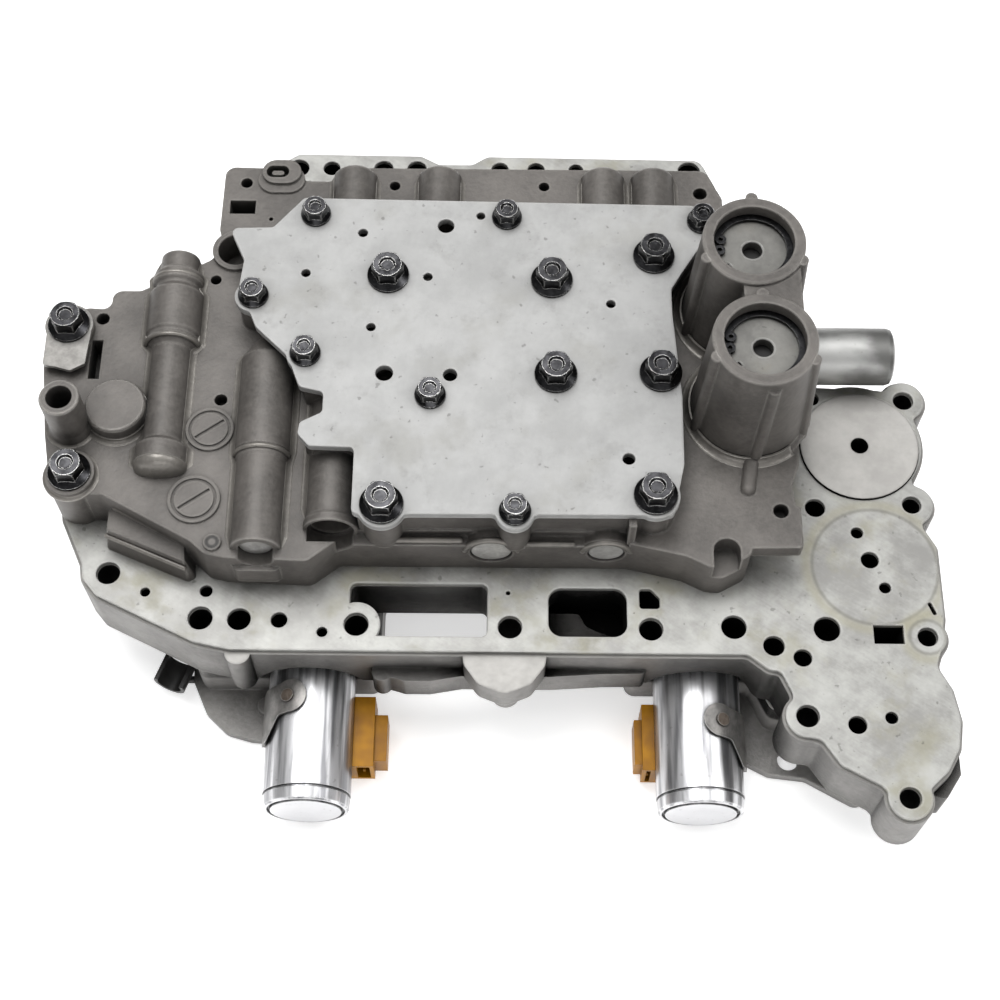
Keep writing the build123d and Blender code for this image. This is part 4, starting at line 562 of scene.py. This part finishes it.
def tube_feet(x, profile, size):
    """A cove on both sides of a lying tube; the profile is y and radius, in millimetres.

    At each end its size is THIN_END of the full one, and it grows to that over about RUNOUT full sizes.
    """
    reach, wide = np.array(profile).T * MM
    y = np.linspace(reach[0], reach[-1], STATIONS_OF_TUBE)
    tube = np.interp(y, reach, wide)
    from_end = np.minimum(y - y[0], y[-1] - y)
    size = size * np.minimum(1.0, from_end / (RUNOUT * size) + THIN_END)
    strips = []
    for side in (-1.0, 1.0):
        foot = np.column_stack((x + side * tube, y))
        outward = np.column_stack((np.full(len(y), side), np.zeros(len(y))))
        strips.append(cove(foot, outward, size, tube))
    return strips


def join_strips(name, strips):
    """One mesh from many strips, with its normals outward.

    A strip is its points, its four-sided faces, its flat end faces and a smooth flag for each four-sided
    face. The numbers in its faces move up by the count of the points before it.
    """
    count = 0
    faces = []
    smooth = []
    for points, sides, ends, curved in strips:
        faces += (sides + count).tolist() + (ends + count).tolist()
        smooth += curved.tolist() + [False] * len(ends)
        count += len(points)
    mesh = bpy.data.meshes.new(name)
    mesh.from_pydata(np.concatenate([strip[0] for strip in strips]).tolist(), [], faces)
    mesh.polygons.foreach_set("use_smooth", smooth)
    solid = bmesh.new()
    solid.from_mesh(mesh)
    bmesh.ops.recalc_face_normals(solid, faces=solid.faces)
    solid.to_mesh(mesh)
    solid.free()
    piece = bpy.data.objects.new(name, mesh)
    bpy.context.scene.collection.objects.link(piece)
    return piece


# A tube is its y and radius from front to rear, in millimetres.
TUBE_COVE = 2.4 * MM
SHIFT_TUBE = [
    (-18.4, 6.1), (-14.4, 9.2), (-8.4, 9.2), (-6.0, 7.1), (31.0, 7.1), (34.0, 9.8), (54.5, 9.8),
    (57.0, 8.2), (62.0, 8.9), (64.0, 7.0), (69.5, 7.0),
]
LOCKUP_TUBE = [(-45.6, 8.7), (-13.5, 8.8), (-9.5, 9.8), (27.0, 9.8), (33.8, 6.2)]
RELAY_TUBE = [(-35.0, 8.7), (19.0, 8.7)]
TUBES = {"shift_valve": SHIFT_TUBE, "lockup_valve": LOCKUP_TUBE, "relay_valve": RELAY_TUBE}
REAR_HUMP = [(88, 8.15), (108.4, 8.15)]
REAR_HUMP_X = (-61.2, -29.6, 31.4, 50.1)
HUMP_COVE = 1.6 * MM
# A post is its middle, its radius and the size of its cove in millimetres, and a tower has two angles too.
ROUND_PAD = ((-140.2, 5.9), 11.2, 1.8)
PIPE_BOSS = ((-156.0, 0.6), 7.4, 1.6)
LEFT_BOLT_PAD = ((-153.9, -18.7), 8.4, 1.4)
REAR_TOWER = ((79.3, 49.1), 21.2, 2.6, 75, 235)
FRONT_TOWER = ((80.9, 10.3), 21.2, 2.6, 125, 310)
strips = []
for line, profile in TUBES.items():
    low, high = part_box(line + "_plug")
    strips += tube_feet((low.x + high.x) / 2, profile, TUBE_COVE)
for x in REAR_HUMP_X:
    strips += tube_feet(x * MM, REAR_HUMP, HUMP_COVE)
for foot in (ROUND_PAD, PIPE_BOSS, LEFT_BOLT_PAD, REAR_TOWER, FRONT_TOWER):
    strips.append(round_foot(*foot))


def tube_strip(spine, side, lift, wide, sides):
    """Circle of the given width round each point of a spine, in the plane of its two directions."""
    angle = np.arange(sides) * 2 * math.pi / sides
    circle = np.cos(angle)[None, :, None] * side[:, None, :] + np.sin(angle)[None, :, None] * np.array(lift)
    points = (spine[:, None, :] + wide[:, None, None] * circle).reshape(-1, 3)
    rows = np.arange(len(spine) - 1)[:, None] * sides
    cols = np.arange(sides)[None, :]
    beside = (cols + 1) % sides
    ahead = rows + sides
    faces = np.stack((rows + cols, rows + beside, ahead + beside, ahead + cols), axis=-1).reshape(-1, 4)
    ends = np.array([[0], [len(points) - sides]]) + cols
    return points, faces, ends, np.full(len(faces), True)


SIDES_OF_BAR = 12
STATIONS_OF_BAR_END = 5
TIP_ANGLE = 0.02


def bar(start, end, radius):
    """Round bar between two points: a circle carried along the line, with a quarter round at each end."""
    start, end = np.array(start, float), np.array(end, float)
    way = (end - start) / np.linalg.norm(end - start)
    side = np.cross(way, UP)
    side /= np.linalg.norm(side)
    turn = np.linspace(TIP_ANGLE, math.pi / 2, STATIONS_OF_BAR_END)
    length = np.linalg.norm(end - start)
    along = np.concatenate((-radius * np.cos(turn), length + radius * np.cos(turn[::-1])))
    wide = np.concatenate((radius * np.sin(turn), radius * np.sin(turn[::-1])))
    spine = start + along[:, None] * way
    return tube_strip(spine, np.tile(side, (len(along), 1)), np.cross(side, way), wide, SIDES_OF_BAR)


ARCH_START = math.radians(8)
STATIONS_OF_ARCH = 25


def arch(centre, reach, radius):
    """Round bar bent over a bore mouth or a tube: a circle carried along an upright half circle."""
    turn = np.linspace(ARCH_START, math.pi - ARCH_START, STATIONS_OF_ARCH)
    outward = np.column_stack((np.cos(turn), np.zeros(len(turn)), np.sin(turn)))
    spine = np.array(centre) + reach * outward
    return tube_strip(spine, outward, (0.0, 1.0, 0.0), np.full(len(turn), radius), SIDES_OF_BAR)


BLUNT = 2.6
STATIONS_OF_DOME = 12
SIDES_OF_DOME = 36


def dome(centre, reach, radius):
    """Rounded end of a lying tube: a blunt quarter curve turned about the tube's line.

    The curve's way along the line and its width, as shares, raised to the power BLUNT, add up to one.
    """
    share = np.sin(np.linspace(0.0, math.pi / 2, STATIONS_OF_DOME)[:-1])
    spine = np.array(centre) + np.column_stack((0 * share, -reach * share, 0 * share))
    wide = radius * (1 - share**BLUNT) ** (1 / BLUNT)
    return tube_strip(spine, np.tile((1.0, 0.0, 0.0), (len(share), 1)), UP, wide, SIDES_OF_DOME)


# A bar is its two ends and its radius, in millimetres.
RAIL_TOP_BEAD = ((-139.2, -26.9, 63.8), (-113.8, -40.2, 63.8), 1.2)
RAIL_LOW_BEAD = ((-142.0, -35.9, 60.4), (-114.2, -47.9, 60.4), 0.9)
LEFT_WALL_BAR = ((-41.0, -40.6, 69.2), (-19.5, -40.6, 69.2), 1.2)
RIGHT_WALL_BAR = ((3.6, -41.6, 69.0), (18.9, -41.6, 69.0), 1.0)
for start, end, radius in (RAIL_TOP_BEAD, RAIL_LOW_BEAD, LEFT_WALL_BAR, RIGHT_WALL_BAR):
    strips.append(bar(np.array(start) * MM, np.array(end) * MM, radius * MM))

MOUTH_ARCH_Y = -42.1 * MM
MOUTH_ARCH_GAP = 1.9 * MM
MOUTH_ARCH_WIRE = 1.1 * MM
for line in ("pressure_valve", "control_valve"):
    low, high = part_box(line + "_plug")
    middle = (low + high) / 2
    reach = (high.x - low.x) / 2 + MOUTH_ARCH_GAP
    strips.append(arch((middle.x, MOUTH_ARCH_Y, middle.z), reach, MOUTH_ARCH_WIRE))

# A ring is its y and its radius, in millimetres.
TUBE_RINGS = {"shift_valve": ((33.4, 9.5), (60.0, 8.7)), "lockup_valve": ((-11.0, 9.5),)}
TUBE_RING_WIRE = 0.85 * MM
for line, rings in TUBE_RINGS.items():
    low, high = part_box(line + "_plug")
    for y, radius in rings:
        strips.append(arch(((low.x + high.x) / 2, y * MM, DECK), radius * MM, TUBE_RING_WIRE))

TUBE_END_Y = -14.4 * MM
TUBE_END_REACH = 5.0 * MM
TUBE_END_RADIUS = 9.4 * MM
low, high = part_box("shift_valve_plug")
strips.append(dome(((low.x + high.x) / 2, TUBE_END_Y, DECK), TUBE_END_REACH, TUBE_END_RADIUS))

coves = join_strips("deck_coves", strips)
# Painted highlight: the upper casting's aluminium in lighter tones, for the light caught by coves and
# beads.
lit_cove_cast = cast_finish("cove_skin_painted_lighter", "6A6763", "8B8781", "B8B4AE", corner=0.0, rough=0.36)
coves.data.materials.append(lit_cove_cast)
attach(coves, "valve_body")


# Spool valves.
# Five ground steel spools with their return springs; each bore is shut by a light plug and the plug is
# held by a flat key that stands on the separator plate.

SIDES_OF_WIRE = 10
STEPS_OF_TURN = 24
VALVE_WIRE = 0.6 * MM
VALVE_TURNS = 7


def spring(node, joint, wire, turns):
    """Wound spring in place of a node: a circle carried along a coil that climbs along the joint's line.

    The wire's radius is given. The coil climbs by one wire's width in its first and last turn, which lie
    flat, and evenly between.
    """
    low, high = (np.array(corner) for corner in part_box(node))
    travel = next(row for row in frame["record"]["behaviour"]["joints"] if row["name"] == joint)
    axis = np.array(travel["axis"], float)
    along = int(np.argmax(np.abs(axis)))
    round_about = [i for i in range(3) if i != along]
    length = high[along] - low[along]
    radius = (high - low)[round_about[0]] / 2 - wire
    turn = np.linspace(0.0, turns, turns * STEPS_OF_TURN + 1)
    climb = np.interp(turn, [0, 1, turns - 1, turns], [wire, 3 * wire, length - 3 * wire, length - wire])
    outward = np.zeros((len(turn), 3))
    outward[:, round_about[0]] = np.cos(2 * math.pi * turn)
    outward[:, round_about[1]] = np.sin(2 * math.pi * turn)
    spine = (low + high) / 2 + radius * outward
    spine[:, along] = low[along] + climb
    strip = tube_strip(spine, outward, np.abs(axis), np.full(len(turn), wire), SIDES_OF_WIRE)
    piece = join_strips(node + "_coil", [strip])
    piece.data.materials.append(wire_steel)
    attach(piece, "valve_body")
    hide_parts(node)
    anchor = (low + high) / 2
    anchor[along] = (high if axis[along] > 0 else low)[along]
    keep = 1 - (max(travel["range_m"]) - min(travel["range_m"])) / length
    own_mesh(piece)


wire_steel = steel_finish("spring_wire", "4C4A47", "85827D", rough=0.32, corner=0.0002)
plug_steel = steel_finish("plug_metal", "B5B3B0", "E6E5E2", rough=0.36, metallic=0.7)
for line in ("shift_valve", "lockup_valve", "relay_valve", "pressure_valve", "control_valve"):
    wear_finish(line + "_spool", ground_steel)
    wear_finish(line + "_plug", plug_steel)
    wear_finish(line + "_plug_key", plug_steel)
    spring(line + "_spring", line + "_travel", VALVE_WIRE, VALVE_TURNS)


# Accumulators.
# In each tower a turned aluminium piston stands on its spring; a cap disc closes the bore and a spring
# ring in a groove holds the cap down.

cap_metal = sheet_finish(
    "cap_metal", "5E5D5A", "7B7A76", "7A7464", (4.0, 4.0, 1.0), rough=0.42, stained=0.35, metallic=0.4
)
# Painted shade: the pistons are near black so that the hole in each cap reads as shadow.
shade_dark_piston = steel_finish(
    "shade_dark_piston", "1A1918", "32302E", rough=0.5, metallic=0.4, bright="55534F", reach=0.02
)
ring_steel = steel_finish("ring_steel", "222223", "424244", rough=0.3, bright="8E8D8B")
ACCUMULATOR_WIRE = 1.3 * MM
ACCUMULATOR_TURNS = 5
for side in ("rear", "front"):
    wear_finish("accumulator_cap_" + side, cap_metal)
    wear_finish("accumulator_piston_" + side, shade_dark_piston)
    wear_finish("snap_ring_" + side, ring_steel)
    spring("accumulator_spring_" + side, "piston_" + side + "_travel", ACCUMULATOR_WIRE, ACCUMULATOR_TURNS)


# Rear solenoid.
# A smaller drawn steel can with a duller plated skin; its nose is pushed into a bore in the right wall of
# the upper casting.

rear_skin = can_finish(
    "bright_rear_can", "X", (1.0, 1.6, 1.6), rough=0.34, tones=("70706E", "B8B8B6"), metallic=0.7
)
wear_finish("solenoid_rear", rear_skin)


# Cover plate and its bolts.
# A light satin sheet over the valve bank, held by hex flange bolts of two sizes with dished heads.

cover_sheet = sheet_finish(
    "cover_sheet", "929291", "A6A6A5", "96948C", (3.0, 1.0, 1.0),
    rough=0.5, stained=0.25, metallic=0.25, turn=0.2,
)
wear_finish("cover_plate", cover_sheet)
for node in ("cover_bolts_m6", "cover_bolts_m5", "side_bolts"):
    wear_finish(node, bolt_steel)
bracket_steel = steel_finish(
    "bracket_steel", "6C6A67", "8F8D89", rough=0.42, corner=0.0006, metallic=0.5, bright="D8D6D2"
)
wear_finish("harness_bracket", bracket_steel)


# Floor, light and camera.
# A pale floor under the part, soft lights above, behind and in front, a dim horizon that gives the bright
# metal its dark bands, and the camera where the photograph was taken.

FLOOR_REACH = 3.0
FLOOR_GAP = 0.3 * MM
floor_mesh = bpy.data.meshes.new("floor")
floor_corners = [(x * FLOOR_REACH, y * FLOOR_REACH, 0) for x, y in ((-1, -1), (1, -1), (1, 1), (-1, 1))]
floor_mesh.from_pydata(floor_corners, [], [(0, 1, 2, 3)])
floor_mesh.transform(Matrix.Translation((0, 0, cad_box[0][2] - FLOOR_GAP)))
floor = bpy.data.objects.new("floor", floor_mesh)
bpy.context.scene.collection.objects.link(floor)
paper, paper_sockets, _ = new_finish("white_paper", 0.0)
paper_sockets["Base Color"].default_value = (0.93, 0.93, 0.93, 1.0)
paper_sockets["Roughness"].default_value = 0.8
paper_sockets["Emission Color"].default_value = (1.0, 1.0, 1.0, 1.0)
paper_sockets["Emission Strength"].default_value = 0.5
floor_mesh.materials.append(paper)


def soft_light(name, place, aim, size, power):
    """A rectangular soft light that faces a point."""
    lamp = bpy.data.lights.new(name, "AREA")
    lamp.shape = "RECTANGLE"
    lamp.size, lamp.size_y = size
    lamp.energy = power
    holder = bpy.data.objects.new(name, lamp)
    holder.location = place
    holder.rotation_euler = (Vector(aim) - Vector(place)).to_track_quat("-Z", "Y").to_euler()
    bpy.context.scene.collection.objects.link(holder)


soft_light("key_light", place=(-0.22, 0.34, 1.15), aim=(0, 0, 0.04), size=(0.8, 0.7), power=11.0)
soft_light("fill_light", place=(0.75, 0.1, 0.9), aim=(0, 0, 0.04), size=(0.4, 0.6), power=3.0)
soft_light("front_light", place=(0.05, -1.0, 0.45), aim=(0, 0, 0.05), size=(1.1, 0.35), power=3.0)

world = bpy.data.worlds.new("studio")
world.use_nodes = True
bpy.context.scene.world = world
sky_tree = world.node_tree
sky_tree.nodes.clear()
sky_out = sky_tree.nodes.new("ShaderNodeOutputWorld")
sky = sky_tree.nodes.new("ShaderNodeBackground")
sky_tree.links.new(sky.outputs[0], sky_out.inputs[0])
sky_way = Tone(sky_tree, sky_tree.nodes.new("ShaderNodeTexCoord").outputs["Generated"])
sky_stops = [(0.0, 0.3), (0.2, 0.12), (0.45, 0.18), (0.75, 0.55), (1.0, 0.85)]
sky_tone = sky_way.add("ShaderNodeValToRGB", {"stops": sky_stops}, {0: sky_way.part("Z").band(-0.2, 1.0)})
sky_tree.links.new(sky_tone.socket, sky.inputs["Color"])
sky.inputs["Strength"].default_value = 0.8

FOCAL_LENGTH = 64.8
SENSOR_WIDTH = 36.0
eye = Vector((-0.006, -0.3017, 0.624))
aim = Vector((-0.006, -0.034, 0.087))
roll = math.radians(0.5)
look = (aim - eye).normalized()
level = look.cross(Vector(UP)).normalized()
upright = level.cross(look)
right = level * math.cos(roll) + upright * math.sin(roll)
top = upright * math.cos(roll) - level * math.sin(roll)
camera_data = bpy.data.cameras.new("camera")
camera_data.lens = FOCAL_LENGTH
camera_data.sensor_width = SENSOR_WIDTH
camera_data.clip_end = 20.0
camera = bpy.data.objects.new("camera", camera_data)
camera.matrix_world = Matrix((
    (right.x, top.x, -look.x, eye.x),
    (right.y, top.y, -look.y, eye.y),
    (right.z, top.z, -look.z, eye.z),
    (0, 0, 0, 1),
))
bpy.context.scene.collection.objects.link(camera)
bpy.context.scene.camera = camera
bpy.context.scene.view_settings.view_transform = "Standard"
